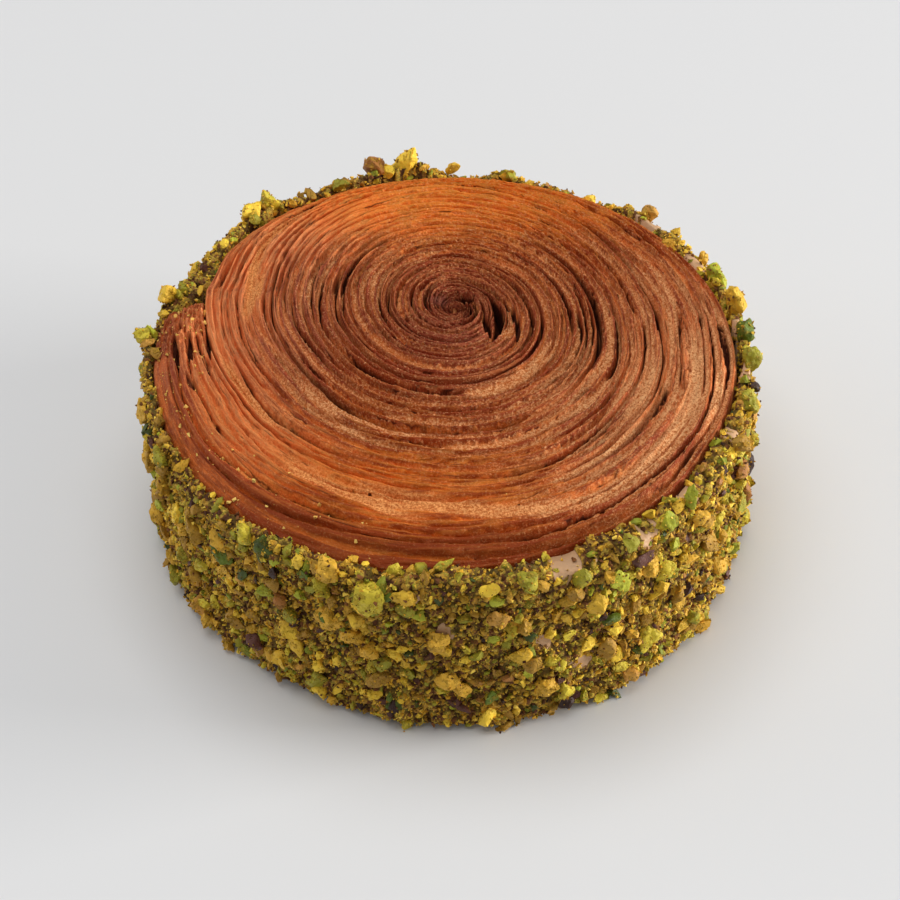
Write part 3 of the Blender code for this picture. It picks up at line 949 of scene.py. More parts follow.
@dataclass
class PastryCoil:
    """The baked roll: its layered top, one piece for each outer turn, its wall and its base.

    The heart's patch gives its middle and its half widths. Each turn of the inner piece and
    of the base has its own number of columns to a face.
    """

    spiral: Spiral = field(default_factory=Spiral)
    outer: tuple[str, ...] = ("coil_first_turn", "coil_second_turn", "coil_third_turn")
    turns: int = 6
    rows: int = 88
    columns: int = 896
    inner_steps: tuple[int, ...] = (2, 4, 4)
    base_rows: int = 4
    base_steps: tuple[int, ...] = (4, 4, 8, 8, 16, 16)
    shoulder: float = 1.7 * MM
    shoulder_front: float = 1.1 * MM
    front: float = math.radians(245.0)
    end_drop: float = 3.2 * MM
    heart_drop: float = 1.4 * MM
    heart_patch: tuple[float, ...] = (-0.9 * MM, 13.6 * MM, 2.9 * MM, 1.9 * MM)
    fold: float = 3.7 * MM
    layers: float = 8.0
    merged: float = 4.0
    foot: float = 0.9 * MM
    wall_levels: tuple[float, ...] = (31.5 * MM, 20.0 * MM, 8.0 * MM)
    bake: float = 0.16
    # Painted shade: how much darker the front rim is drawn, as it faces away from the lights.
    front_rim_shade: float = 0.85
    base_bake: float = 0.75
    cuts: tuple[Cut, ...] = (
        Cut(((2.2, 13.9), (5.2, 13.6)), 0.75, 3.4),
        Cut(((0.7, 11.4), (4.4, 11.7)), 0.7, 1.8),
        Cut(((6.8, 8.8), (7.8, 3.4)), 0.6, 2.6),
        Cut(((7.6, 14.4), (8.7, 12.3), (9.2, 10.1), (9.5, 6.9), (8.9, 3.6), (8.0, 1.6)), 0.75, 3.0),
        Cut(((10.6, 12.2), (11.8, 9.5), (12.6, 6.1), (12.3, 2.8)), 0.55, 1.9),
        Cut(((-7.4, 9.7), (-6.0, 7.7)), 0.5, 1.8),
        Cut(((-4.4, 11.4), (-3.4, 10.0)), 0.45, 1.5),
        Cut(((-46.8, 7.4), (-46.4, 2.9), (-45.6, -1.6)), 0.55, 1.9),
        Cut(((-44.1, 5.9), (-43.9, 2.4), (-43.3, -0.6)), 0.50, 2.2),
        Cut(((-42.9, 5.4), (-42.4, 0.4)), 1.1, 0.8), Cut(((-47.6, 10.8), (-47.4, 9.4)), 0.45, 1.3),
        Cut(((-45.9, 9.6), (-45.6, 7.6)), 0.4, 1.4), Cut(((-43.0, 10.0), (-42.9, 8.0)), 0.4, 1.3),
        Cut(((-41.2, 6.6), (-40.7, 3.6), (-40.3, 0.6)), 0.45, 2.2),
        Cut(((-40.9, -0.2), (-40.1, -3.2)), 0.5, 1.4), Cut(((-43.9, -4.2), (-42.5, -8.0)), 0.6, 1.5),
    )
    arcs: tuple[CrumbArc, ...] = (
        CrumbArc(((0.160, 0.75), (0.213, 0.77), (0.262, 0.50)), 0.07),
        CrumbArc(((0.205, 0.86), (0.262, 0.80), (0.301, 0.62), (0.342, 0.45), (0.383, 0.43),
                  (0.435, 0.50), (0.495, 0.62)), 0.11),
        CrumbArc(((1.14, 0.97), (1.26, 0.97)), 0.06),
        CrumbArc(((1.11, 0.86), (1.16, 0.83), (1.21, 0.59)), 0.06),
        CrumbArc(((2.28, 0.76), (2.322, 0.72), (2.392, 0.80), (2.45, 0.66)), 0.12),
        CrumbArc(((0.96, 0.75), (1.02, 0.79)), 0.06),
        CrumbArc(((1.38, 0.14), (1.46, 0.14)), 0.08),
        CrumbArc(((0.32, 0.95), (0.39, 0.95)), 0.05),
        CrumbArc(((0.40, 0.16), (0.47, 0.16)), 0.07),
        CrumbArc(((3.38, 0.70), (3.44, 0.62)), 0.14),
        CrumbArc(((1.06, 0.10), (1.10, 0.10), (1.16, 0.13)), 0.06),
        CrumbArc(((0.86, 0.48), (0.90, 0.49), (0.95, 0.57), (1.009, 0.68), (1.044, 0.56)), 0.08),
    )
    # Patches browned darker or paler; the three on the front rim, at (4, -50), (-24, -43) and (-38, -30) mm,
    # are painted shade on the rim that faces away from the lights.
    toasts_and_rim_shade: tuple[Toast, ...] = (
        Toast(1.0, 10.0, 16.0, 0.50), Toast(24.0, 8.0, 14.0, 0.25), Toast(0.0, -12.0, 18.0, 0.25),
        Toast(-14.0, -2.0, 14.0, 0.30), Toast(-46.0, 4.0, 9.0, -0.14), Toast(4.0, -50.0, 10.0, 0.60),
        Toast(-24.0, -43.0, 9.0, 0.50), Toast(-38.0, -30.0, 7.0, 0.30), Toast(0.0, 42.0, 22.0, -0.25),
        Toast(-30.0, -22.0, 10.0, -0.10), Toast(40.0, -4.0, 14.0, -0.25), Toast(10.4, 8.0, 2.2, -0.6),
    )
    blushes: tuple[Toast, ...] = (
        Toast(-46.0, 6.0, 18.0, 1.0), Toast(-32.0, -20.0, 13.0, 0.6), Toast(-28.0, 28.0, 14.0, 0.9),
        Toast(-26.0, 6.0, 16.0, 0.6), Toast(2.0, 9.0, 15.0, 0.9), Toast(42.0, 2.0, 22.0, 0.8),
        Toast(30.0, -26.0, 14.0, 0.5), Toast(2.0, -8.0, 10.0, 0.4),
    )

    def corner(self, keys: dict, turn: int, row: int, column: int) -> int:
        """Number of a shared point: the end of one turn is the start of the next.

        Args:
            keys: Points so far, by turn, row and column.
            turn: Turn.
            row: Row across the strip.
            column: Column round the turn.

        Returns:
            The point's number.
        """
        turn, column = turn + column // self.columns, column % self.columns
        turn, row = turn + row // self.rows, row % self.rows
        if turn == 0 and column == 0:
            turn, row = 1, 0
        return keys.setdefault((turn, row, column), len(keys))

    def sheet(self, first: int, row_step: int, steps: tuple[int, ...]) -> tuple[dict, list, list]:
        """Faces of the strip from one turn to another, at full steps on the outermost edge.

        Args:
            first: First turn.
            row_step: Rows to one face.
            steps: Columns to one face, for each turn.

        Returns:
            Points by key, faces, and for each face its corners' turn, row and column.
        """
        keys: dict = {}
        faces: list[list[int]] = []
        spots: list[list[tuple[int, int, int]]] = []
        above = 1
        for turn, step in enumerate(steps, first):
            for row in range(0, self.rows, row_step):
                fine = above if row == 0 else step
                for column in range(0, self.columns, step):
                    ring = [(turn, row, c) for c in range(column, column + step + 1, fine)]
                    ring += [(turn, row + row_step, column + step), (turn, row + row_step, column)]
                    loop = [self.corner(keys, *spot) for spot in ring]
                    keep = [i for i in range(len(loop)) if loop[i] != loop[i - 1]]
                    if len(keep) > 2:
                        faces.append([loop[i] for i in keep])
                        spots.append([ring[i] for i in keep])
            above = step
        return keys, faces, spots

    def heart(self, keys: dict, faces: list, spots: list, row_step: int, step: int) -> None:
        """Close the middle of the last turn onto one point.

        Args:
            keys: Points by key.
            faces: Faces, added to.
            spots: Corners of the faces, added to.
            row_step: Rows to one face.
            step: Columns to one face.
        """
        ring = [(self.turns, 0, c) for c in range(step, self.columns, step)]
        seam = [(self.turns, row, 0) for row in range(self.rows, -1, -row_step)]
        loop = ring + seam
        hub = keys.setdefault(("hub", 0, 0), len(keys))
        for here, after in zip(loop, loop[1:] + loop[:1]):
            pair = [self.corner(keys, *here), self.corner(keys, *after)]
            if pair[0] != pair[1]:
                faces.append([pair[0], pair[1], hub])
                spots.append([here, after, after])

    def sunk(self, turn: Array, t: Array, share: Array, front: Array) -> Array:
        """How far the top lies below its full height.

        Args:
            turn: Whole turns.
            t: Shares of a turn.
            share: Shares of the way from the spiral's centre to the rim.
            front: How much each place faces the front.

        Returns:
            The drop at the worn shoulder, the loose end and the heart, in metres.
        """
        shoulder = (self.shoulder + self.shoulder_front * front) * ease(0.90, 1.0, share) ** 2
        end = np.where(turn == 0, self.end_drop * (1.0 - ease(0.0, 0.02, t)), 0.0)
        return shoulder + end + self.heart_drop * (1.0 - ease(0.0, 0.11, share))

    @staticmethod
    def dusted(x: Array, y: Array, outer: Array, end: Array) -> Array:
        """How thickly crumbs lie on the crust.

        Args:
            x: Places, metres.
            y: Places, metres.
            outer: 1 on the outer edge just after the loose end, 0 away from it.
            end: 1 on the loose end.

        Returns:
            The cover, a little above 0 everywhere.
        """
        ripple = np.sin(x / (1.1 * MM) + 2.0 * np.sin(y / (2.3 * MM))) * np.sin(y / (1.7 * MM))
        clump = 0.5 + 0.5 * ripple
        return np.clip(0.001 + 0.8 * ((outer + end) * (0.06 + 0.94 * ease(0.40, 0.90, clump))), 0.0, 1.0)

    def marks(self, keys: dict) -> tuple[Array, dict[str, Array]]:
        """Places of the points, and what the layer tree reads on them.

        Args:
            keys: Points by turn, row and column.

        Returns:
            The points of the plain top, and the named numbers.
        """
        table = np.array([(self.turns, 0, 0) if k[0] == "hub" else k for k in keys])
        hub = np.array([k[0] == "hub" for k in keys])
        turn, lane, t = table[:, 0], table[:, 1] / self.rows, table[:, 2] / self.columns
        spot = self.spiral.place(turn, lane, t)
        x = np.where(hub, self.spiral.centre[0], spot["x"])
        y = np.where(hub, self.spiral.centre[1], spot["y"])
        share, heading, first = np.where(hub, 0.0, spot["share"]), spot["heading"], turn == 0
        front = np.clip(np.cos(heading - self.front), 0.0, 1.0) ** 0.7
        end = np.where(first, 1.0 - ease(0.034, 0.066, t + 0.008 * np.sin(lane * 9.0)), 0.0)
        inward = lane * spot["width"]
        fold = np.where(first, (1.0 - ease(0.75, 1.0, inward / self.fold)) * ease(0.035, 0.06, t)
                        * (1.0 - ease(0.15, 0.25, t)), 0.0)
        outer = np.where(first, ease(0.80, 0.93, share) * (1.0 - ease(0.05, 0.27, t)), 0.0)
        middle_x, middle_y, half_x, half_y = self.heart_patch
        calm = 0.85 - 0.85 * ease(0.20, 1.0, np.hypot((x - middle_x) / half_x, (y - middle_y) / half_y))
        bake = self.bake + sum(toast.at(x, y) for toast in self.toasts_and_rim_shade)
        # Painted shade: the front rim is drawn darker through this mark.
        bake = bake + self.front_rim_shade * ease(0.87, 0.98, share) * front + 0.05 * fold
        rough = 1.0 - 0.8 * ease(0.5, 0.8, share) * ease(-0.25, 0.45, -np.cos(heading - math.radians(20.0)))
        rough *= 1.0 - 0.45 * ease(22.0 * MM, 44.0 * MM, y)
        marks = {
            "run": self.spiral.runs(turn + t), "lane": lane, "width": spot["width"], "share": share,
            "pit": np.max([cut.at(x, y) for cut in self.cuts], axis=0),
            "band": np.max([arc.at(turn + t, lane) for arc in self.arcs], axis=0),
            "calm": calm, "bake": np.clip(bake + 0.3 * calm, 0.0, 1.0), "free": np.ones(len(x)),
            "rough": np.clip(rough + 0.2 * fold + 0.35 * end, 0.0, 1.0),
            "pores": end, "cover": self.dusted(x, y, outer, end), "fold": fold,
            "layers": self.layers - self.merged * ease(2.8, 5.4, turn + t),
            "rosy": np.clip(sum(blush.at(x, y) for blush in self.blushes), 0.0, 1.0),
        }
        height = self.spiral.height - self.sunk(turn, t, share, front)
        return np.stack([x, y, height], axis=1), marks

    def strip_map(self, piece: bpy.types.Object, spots: list) -> None:
        """Store the place along and across the strip as a UV map.

        Args:
            piece: The mesh object.
            spots: Turn, row and column of each corner of each face.
        """
        flat = np.array([corner for loop in spots for corner in loop])
        turn = flat[:, 0] + flat[:, 2] // self.columns
        t = (flat[:, 2] % self.columns) / self.columns
        width = self.spiral.place(turn, t * 0.0, t)["width"]
        pairs = np.stack([self.spiral.runs(turn + t), flat[:, 1] / self.rows * width], axis=1)
        layer = piece.data.uv_layers.new(name="strip")
        layer.data.foreach_set("uv", pairs.astype(np.float32).ravel())

    def cast(self, tree: LayerRelief, name: str, form: tuple, values: dict[str, Value]) -> bpy.types.Object:
        """Run the layer tree on one stretch of the strip.

        Args:
            tree: The layer tree.
            name: Name of the piece.
            form: Its points, faces, marks, and its faces' corners by turn, row and column.
            values: Values of the tree's inputs.

        Returns:
            The piece.
        """
        points, faces, marks, spots = form
        plain = plain_mesh(name + "_plain", points, faces, marks)
        self.strip_map(plain, spots)
        piece = tree.run(plain, name, values)
        drop(plain)
        return piece

    def build(self) -> list[bpy.types.Object]:
        """Build the layered top, the wall and the base.

        Returns:
            The pieces.
        """
        finish = {"Finish": BakedCrust().material()}
        tree = LayerRelief(self.fold)
        made = []
        for turn, name in enumerate(self.outer):
            keys, faces, spots = self.sheet(turn, 1, (1,))
            points, marks = self.marks(keys)
            if turn == 0:
                rim = [self.corner(keys, 1, 0, 0)]
                rim += [self.corner(keys, 0, 0, c) for c in range(1, self.columns)]
                edge = [(0, 0, c) for c in range(self.columns)]
                points, marks = self.wall(points, marks, faces, spots, rim, edge)
            made.append(self.cast(tree, name, (points, faces, marks, spots), finish))
        made.append(self.dust(made[0]))

        keys, faces, spots = self.sheet(len(self.outer), 1, self.inner_steps)
        self.heart(keys, faces, spots, 1, self.inner_steps[-1])
        points, marks = self.marks(keys)
        made.append(self.cast(tree, "coil_inner_turns", (points, faces, marks, spots), finish))

        keys, faces, spots = self.sheet(0, self.base_rows, self.base_steps)
        self.heart(keys, faces, spots, self.base_rows, self.base_steps[-1])
        points, marks = self.marks(keys)
        points[:, :2] *= 1.0 - self.foot / self.spiral.radius
        points[:, 2] = 0.0
        marks["bake"] = np.full(len(points), self.base_bake)
        marks["pit"] = marks["pit"] * 0.0
        marks["free"] = 1.0 - ease(0.96, 0.99, marks["share"])
        faces, spots = ([loop[::-1] for loop in loops] for loops in (faces, spots))
        made.append(self.cast(tree, "coil_base", (points, faces, marks, spots), {
            "Slit Depth": 0.5 * MM, "Turn Gap": 0.9 * MM, "Crown": 0.15 * MM, "Valley": 0.1 * MM,
            "Step": 0.25 * MM, "Flake": 0.0, "Crack": 0.15 * MM, "Fine": 0.08 * MM, "Side": -1.0,
            "Ceiling": 0.0, **finish}))
        return made

    @staticmethod
    def dust(top: bpy.types.Object) -> bpy.types.Object:
        """Fine nut crumbs spilt on the crust.

        Args:
            top: The piece they lie on.

        Returns:
            The crumbs.
        """
        grains = Prototypes("speck", 6, 33).build(Prototypes.crumb)
        finish = NutFlesh("crumb_spilt", (1.0, 0.66, 0.16), (0.84, 0.48, 0.10), dusting=0.1, roughness=0.8)
        made = Strewing().run(top, "crumb_spilt", {
            "Spacing": 0.5 * MM, "Small": 0.20 * MM, "Large": 1.05 * MM, "Sink": 0.2, "Flat": 0.8, "Seed": 70,
            "Shapes": grains, "Finish": finish.material()})
        Prototypes.discard(grains)
        return made

    def wall(self, points: Array, marks: dict[str, Array], faces: list, spots: list,
             rim: list[int], edge: list) -> tuple[Array, dict[str, Array]]:
        """Add the plain side wall below the rim.

        Args:
            points: Points of the top.
            marks: Numbers on the points.
            faces: Faces, added to.
            spots: Corners of the faces, added to.
            rim: Points round the rim.
            edge: Turn, row and column of the rim's points.

        Returns:
            Points and marks with the wall's own.
        """
        count = len(rim)
        levels = (*self.wall_levels, self.foot, 0.0)
        hidden = ("free", "pit", "cover")
        for level in levels:
            ring = points[rim].copy()
            ring[:, 2] = level
            if level == 0.0:
                ring[:, :2] *= 1.0 - self.foot / self.spiral.radius
            points = np.concatenate([points, ring])
            for label in marks:
                marks[label] = np.concatenate([marks[label], marks[label][rim] * (label not in hidden)])
        before = list(rim)
        for level in range(len(levels)):
            after = [len(points) - (len(levels) - level) * count + i for i in range(count)]
            for i in range(count):
                j = (i + 1) % count
                faces.append([before[i], after[i], after[j], before[j]])
                spots.append([edge[i], edge[i], edge[j], edge[j]])
            before = after
        return points, marks


# ---- the coat -----------------------------------------------------------------
@dataclass(frozen=True)
class Nut:
    """One chopped piece: where it sits on the side, its size, its lean and its kind."""

    direction: float
    height: float
    length: float
    width: float
    thick: float
    lean: float
    lift: float
    kind: NutKind


K = NutKind
LARGE_NUTS = tuple(Nut(*row) for row in (
    (255.2, 31.2, 8.2, 5.4, 3.2, 12, 0.5, K.YELLOW_GREEN), (234.9, 32.8, 5.6, 3.4, 2.6, 8, 0.0, K.DARK_GREEN),
    (298.6, 29.3, 5.6, 3.4, 3.2, -10, 0.4, K.LIME), (303.4, 31.6, 5.2, 4.2, 2.0, 60, 0.6, K.SKIN),
    (315.7, 35.6, 6.2, 1.9, 1.9, 4, 0.0, K.LIME), (224.0, 29.1, 6.0, 5.0, 3.4, 30, 0.0, K.MUSTARD),
    (216.9, 26.8, 6.0, 4.6, 3.4, 5, 0.4, K.MUSTARD), (222.6, 24.6, 7.4, 3.2, 2.4, 82, 0.0, K.DARK_GREEN),
    (236.3, 7.9, 5.8, 3.0, 2.6, 75, 0.0, K.YELLOW), (259.7, 5.6, 6.6, 3.0, 2.4, 70, 0.0, K.DARK_GREEN),
    (305.4, 10.8, 6.2, 4.4, 2.8, 65, 0.0, K.YELLOW_GREEN), (294.3, 25.4, 4.8, 4.0, 3.0, 20, 0.0, K.YELLOW),
    (307.2, 21.6, 4.8, 3.6, 3.0, 50, 0.0, K.YELLOW), (247.7, 22.9, 5.4, 4.4, 3.0, 35, 0.0, K.MUSTARD),
    (282.0, 35.4, 4.6, 4.0, 3.6, 0, 0.0, K.YELLOW_GREEN), (247.6, 34.3, 5.4, 4.2, 3.0, 15, 0.0, K.MUSTARD),
    (300.4, 35.6, 3.8, 3.6, 3.2, 0, 0.0, K.YELLOW_GREEN), (308.9, 35.6, 3.8, 3.0, 3.0, 0, 0.0, K.LIME),
    (3.5, 35.4, 7.4, 4.0, 3.4, -42, -1.0, K.DARK_GREEN), (11.5, 35.4, 5.8, 4.8, 4.0, 10, -1.2, K.YELLOW),
    (21.0, 35.0, 5.2, 3.6, 3.6, 50, -1.4, K.LIME), (356.5, 34.6, 5.4, 3.4, 3.0, -15, -0.6, K.YELLOW_GREEN),
    (344.0, 34.6, 5.0, 3.6, 3.0, 20, -0.4, K.YELLOW_GREEN), (97.5, 36.6, 8.4, 4.4, 3.6, -14, -0.5, K.YELLOW),
    (103.4, 36.4, 4.8, 4.4, 3.8, 10, -0.5, K.TAN), (127.0, 36.4, 6.0, 3.6, 3.4, 10, -0.5, K.YELLOW_GREEN),
    (131.2, 36.2, 4.8, 4.0, 3.4, -20, -0.4, K.YELLOW), (160.3, 35.6, 5.4, 4.2, 3.6, 60, -1.2, K.YELLOW),
    (172.0, 34.6, 5.0, 4.2, 3.4, 30, 0.0, K.YELLOW_GREEN),
    (76.0, 33.6, 4.2, 3.4, 3.0, 20, -0.8, K.YELLOW_GREEN),
))


@dataclass(frozen=True)
class CoatForm:
    """The coat's radius and height round the roll, by the CAD's rule."""

    radius: float = 51.4 * MM
    wave: float = 0.55 * MM
    swell: float = 2.3 * MM
    toward: float = 290.0
    spread: float = 42.0
    hollow: float = 0.7 * MM
    hollow_toward: float = 230.0
    hollow_spread: float = 20.0
    top: float = 34.4 * MM
    rise: float = 1.5 * MM
    arc: tuple[float, float, float, float] = (25.0, 50.0, 140.0, 165.0)
    dip: float = 2.2 * MM
    dip_arc: tuple[float, float, float, float] = (44.0, 60.0, 84.0, 95.0)

    @staticmethod
    def toward_share(bearing: Array, toward: float, spread: float) -> Array:
        """Share of a swell or hollow felt in a direction: 1 where it is centred."""
        return np.exp(-(turned(bearing, toward) / spread) ** 2)

    def middle(self, bearing: Array) -> Array:
        """Mean radius in a compass direction, in degrees."""
        return (self.radius + self.swell * self.toward_share(bearing, self.toward, self.spread)
                - self.hollow * self.toward_share(bearing, self.hollow_toward, self.hollow_spread))

    def crest(self, bearing: Array) -> Array:
        """Height of the top in a compass direction, in degrees."""
        raised, dipped = (ease(start, full, bearing % 360.0) - ease(hold, end, bearing % 360.0)
                          for start, full, hold, end in (self.arc, self.dip_arc))
        return self.top + self.rise * raised - self.dip * dipped

    def outside(self, heading: Array, z: Array) -> Array:
        """Radius of the uneven outer face.

        Args:
            heading: Directions, radians.
            z: Heights.

        Returns:
            The radii.
        """
        broad, finer = np.sin(7 * heading + 3 * z / (9 * MM)), np.sin(17 * heading - z / (4 * MM) + 1.0)
        finest = np.sin(29 * heading + z / (3 * MM) + 2.0)
        return self.middle(np.degrees(heading)) + self.wave * (broad * 0.5 + finer * 0.3 + finest * 0.2)


@dataclass
class LargeNuts:
    """The larger chopped pieces, by the CAD's rule and seeds, with worn edges.

    Sizes are mm but for the wear of the faces: plump and crumble are metres. Shapes are the
    least and the most of width and thickness to length, lean and lift.
    """

    seed: int = 20
    count: int = 222
    large: float = 4.7
    small: float = 2.8
    corners: int = 11
    form: CoatForm = field(default_factory=CoatForm)
    skin: float = 49.5
    wear: float = 0.2
    plump: float = 0.18 * MM
    crumble: tuple[tuple[float, float], ...] = ((1.3 * MM, 0.42), (0.6 * MM, 0.26))
    evenly: tuple[float, float] = (0.5698402910, 0.7548776662)
    jitter: float = 2.0
    lowest: float = 2.4
    levels: float = 32.6
    shapes: tuple[tuple[float, ...], ...] = ((0.62, 0.5, -90.0, 0.0), (0.95, 0.7, 90.0, 0.35))
    degree: float = 0.9
    apart: float = 0.62
    bulk: tuple[float, float] = (0.98, 1.24)
    proud: float = 0.3
    cover: float = 0.75
    end_cover: float = 1.9
    loose_end: tuple[float, float] = (160.0, 212.0)
    floor: float = 0.25

    def nuts(self) -> list[Nut]:
        """Every large piece: the placed ones, then those spread round the side.

        Returns:
            The pieces, sizes in mm.
        """
        draw = np.random.default_rng(self.seed)
        pick = np.random.default_rng(self.seed + 5)
        kinds = list(NutKind)
        nuts = list(LARGE_NUTS)
        step = 0
        while len(nuts) < self.count + len(LARGE_NUTS):
            step += 1
            direction = (step * self.evenly[0] * 360.0 + draw.uniform(-self.jitter, self.jitter)) % 360.0
            level = (step * self.evenly[1]) % 1.0 * self.levels + self.lowest
            placed = (len(nuts) - len(LARGE_NUTS)) / self.count
            length = self.large + (self.small - self.large) * placed
            shape = draw.uniform(*self.shapes)
            if any(abs(turned(direction, n.direction)) * self.degree < n.length * self.apart
                   and abs(level - n.height) < n.length * self.apart for n in LARGE_NUTS):
                continue
            kind = kinds[pick.choice(len(kinds), p=[k.share for k in kinds])]
            nuts.append(Nut(direction, level, length, length * shape[0], length * shape[1],
                            shape[2], shape[3], kind))
        return nuts

    def points(self, nut: Nut, draw: np.random.Generator) -> list[Vector]:
        """Corners of one angular piece, part sunk in the glaze.

        Args:
            nut: The piece.
            draw: Shared random draws, in the CAD's order.

        Returns:
            The corners.
        """
        direction = math.radians(nut.direction)
        spread = draw.normal(size=(self.corners, 3))
        spread /= np.linalg.norm(spread, axis=1)[:, None]
        local = spread * (nut.width / 2, nut.thick / 2, nut.length / 2)
        local = local * draw.uniform(*self.bulk, (self.corners, 1))
        lean = Matrix.Rotation(math.radians(nut.lean), 3, "Y")
        turn = Matrix.Rotation(direction + math.pi / 2, 3, "Z") @ lean
        seat = float(self.form.middle(nut.direction)) / MM + nut.lift + self.proud * nut.thick
        centre = Vector((seat * math.cos(direction), seat * math.sin(direction), nut.height))
        found = []
        for corner in local:
            p = centre + turn @ Vector(corner)
            bearing = math.degrees(math.atan2(p.y, p.x)) % 360.0
            at_end = self.loose_end[0] < bearing < self.loose_end[1]
            least = self.skin + (self.end_cover if at_end else self.cover)
            if p.xy.length < least:
                p.x, p.y = p.xy.normalized() * least
            p.z = max(p.z, self.floor)
            found.append(p * MM)
        return found

    def piece(self, corners: list[Vector], finer: bool) -> bpy.types.Mesh:
        """One piece, its edges worn and its faces crumbled.

        Args:
            corners: Its corners.
            finer: True for more faces.

        Returns:
            The piece's mesh.
        """
        body = bmesh.new()
        bmesh.ops.create_icosphere(body, subdivisions=4 if finer else 3, radius=1.0)
        shell = convex(corners)
        tree = BVHTree.FromBMesh(shell)
        shell.free()
        middle = sum(corners, Vector()) / len(corners)
        stretch = Vector((max(abs((c - middle)[i]) for c in corners) for i in range(3)))
        for vert in body.verts:
            toward = (vert.co * stretch).normalized()
            hit = tree.ray_cast(middle, toward)[0] or middle
            crumble = sum(noise.noise(hit / size) * height for size, height in self.crumble)
            vert.co = hit + toward * (self.plump + crumble * MM)
        bmesh.ops.smooth_vert(body, verts=body.verts[:], factor=self.wear, use_axis_x=True,
                              use_axis_y=True, use_axis_z=True)
        mesh = bpy.data.meshes.new("piece")
        body.to_mesh(mesh)
        body.free()
        return mesh

    def build(self) -> dict[NutKind, bpy.types.Mesh]:
        """Build every large piece.

        Returns:
            One mesh for each kind, with a tone for each piece.
        """
        draw = np.random.default_rng(self.seed + 1)
        heaps = {kind: bmesh.new() for kind in NutKind}
        tones = {kind: heap.verts.layers.float.new("tone") for kind, heap in heaps.items()}
        covers = {kind: heap.verts.layers.float.new("cover") for kind, heap in heaps.items()}
        for number, nut in enumerate(self.nuts()):
            mesh = self.piece(self.points(nut, draw), number < len(LARGE_NUTS))
            heap = heaps[nut.kind]
            before = len(heap.verts)
            heap.from_mesh(mesh)
            heap.verts.ensure_lookup_table()
            for vert in heap.verts[before:]:
                vert[tones[nut.kind]] = (number * 0.618) % 1.0
                vert[covers[nut.kind]] = 0.25 + 0.5 * ((number * 0.381) % 1.0)
            bpy.data.meshes.remove(mesh)
        return {kind: shaded("large_" + kind.finish.name, heap, SHARP_NUT) for kind, heap in heaps.items()}


def shaded(name: str, body: bmesh.types.BMesh, sharp: float) -> bpy.types.Mesh:
    """Turn a body into a mesh, smooth but for its sharp edges.

    Args:
        name: The mesh's name.
        body: The body, which is used up.
        sharp: Least angle of a sharp edge.

    Returns:
        The mesh.
    """
    for face in body.faces:
        face.smooth = True
    mesh = bpy.data.meshes.new(name)
    body.to_mesh(mesh)
    body.free()
    mesh.set_sharp_from_angle(angle=sharp)
    return mesh


def convex(corners: Sequence[Vector]) -> bmesh.types.BMesh:
    """The closed hull round some corners.

    Args:
        corners: The points.

    Returns:
        The hull, its faces outward.
    """
    body = bmesh.new()
    for corner in corners:
        body.verts.new(corner)
    hull = bmesh.ops.convex_hull(body, input=body.verts[:])
    spare = {e for e in hull["geom_interior"] + hull["geom_unused"] if isinstance(e, bmesh.types.BMVert)}
    bmesh.ops.delete(body, geom=list(spare), context="VERTS")
    bmesh.ops.recalc_face_normals(body, faces=body.faces)
    return body


@dataclass
class Prototypes:
    """A few small shapes about 1 unit across, which the strewing tree picks from."""

    name: str
    count: int
    seed: int
    sides: int = 8
    depth: tuple[float, float] = (0.24, 0.50)
    edge_on: float = 0.05
    farthest: float = 0.60
    uneven: float = 0.22
    rough: tuple[float, float] = (0.86, 1.12)
    crumb_size: tuple[float, float] = (0.38, 0.58)

    def spread(self, draw: np.random.Generator) -> Array:
        """Random directions, one for each side."""
        ways = draw.normal(size=(self.sides, 3))
        return ways / np.linalg.norm(ways, axis=1)[:, None]

    def chopped(self, draw: np.random.Generator) -> bmesh.types.BMesh:
        """A chopped piece: a block cut by a few random planes, then roughened.

        Args:
            draw: Random draws.

        Returns:
            The piece.
        """
        body = bmesh.new()
        bmesh.ops.create_cube(body, size=1.0)
        bmesh.ops.subdivide_edges(body, edges=body.edges[:], cuts=1, use_grid_fill=True)
        planes = self.spread(draw)
        depths = draw.uniform(*self.depth, self.sides)
        for vert in body.verts:
            way = np.array(vert.co.normalized()) + draw.normal(size=3) * self.uneven
            facing = planes @ way
            reach = np.where(facing > self.edge_on, depths / np.maximum(facing, self.edge_on), self.farthest)
            vert.co = Vector(way * min(np.min(reach), self.farthest) * draw.uniform(*self.rough))
        return body

    def crumb(self, draw: np.random.Generator) -> bmesh.types.BMesh:
        """A crumb: the hull of a few random corners."""
        corners = self.spread(draw)
        return convex([Vector(c) for c in corners * draw.uniform(*self.crumb_size, (self.sides, 1))])

    def build(self, make: Maker) -> bpy.types.Collection:
        """Make the shapes.

        Args:
            make: Which of this class's shapes to make.

        Returns:
            The collection that holds them.
        """
        draw = np.random.default_rng(self.seed)
        shapes = bpy.data.collections.new(self.name)
        bpy.context.scene.collection.children.link(shapes)
        for number in range(self.count):
            mesh = shaded(f"{self.name}_{number:02d}", make(self, draw), SHARP_CRUMB)
            shapes.objects.link(bpy.data.objects.new(mesh.name, mesh))
        return shapes

    @staticmethod
    def discard(shapes: bpy.types.Collection) -> None:
        """Take the shapes and their collection out of the file."""
        drop(*shapes.objects)
        bpy.data.collections.remove(shapes)


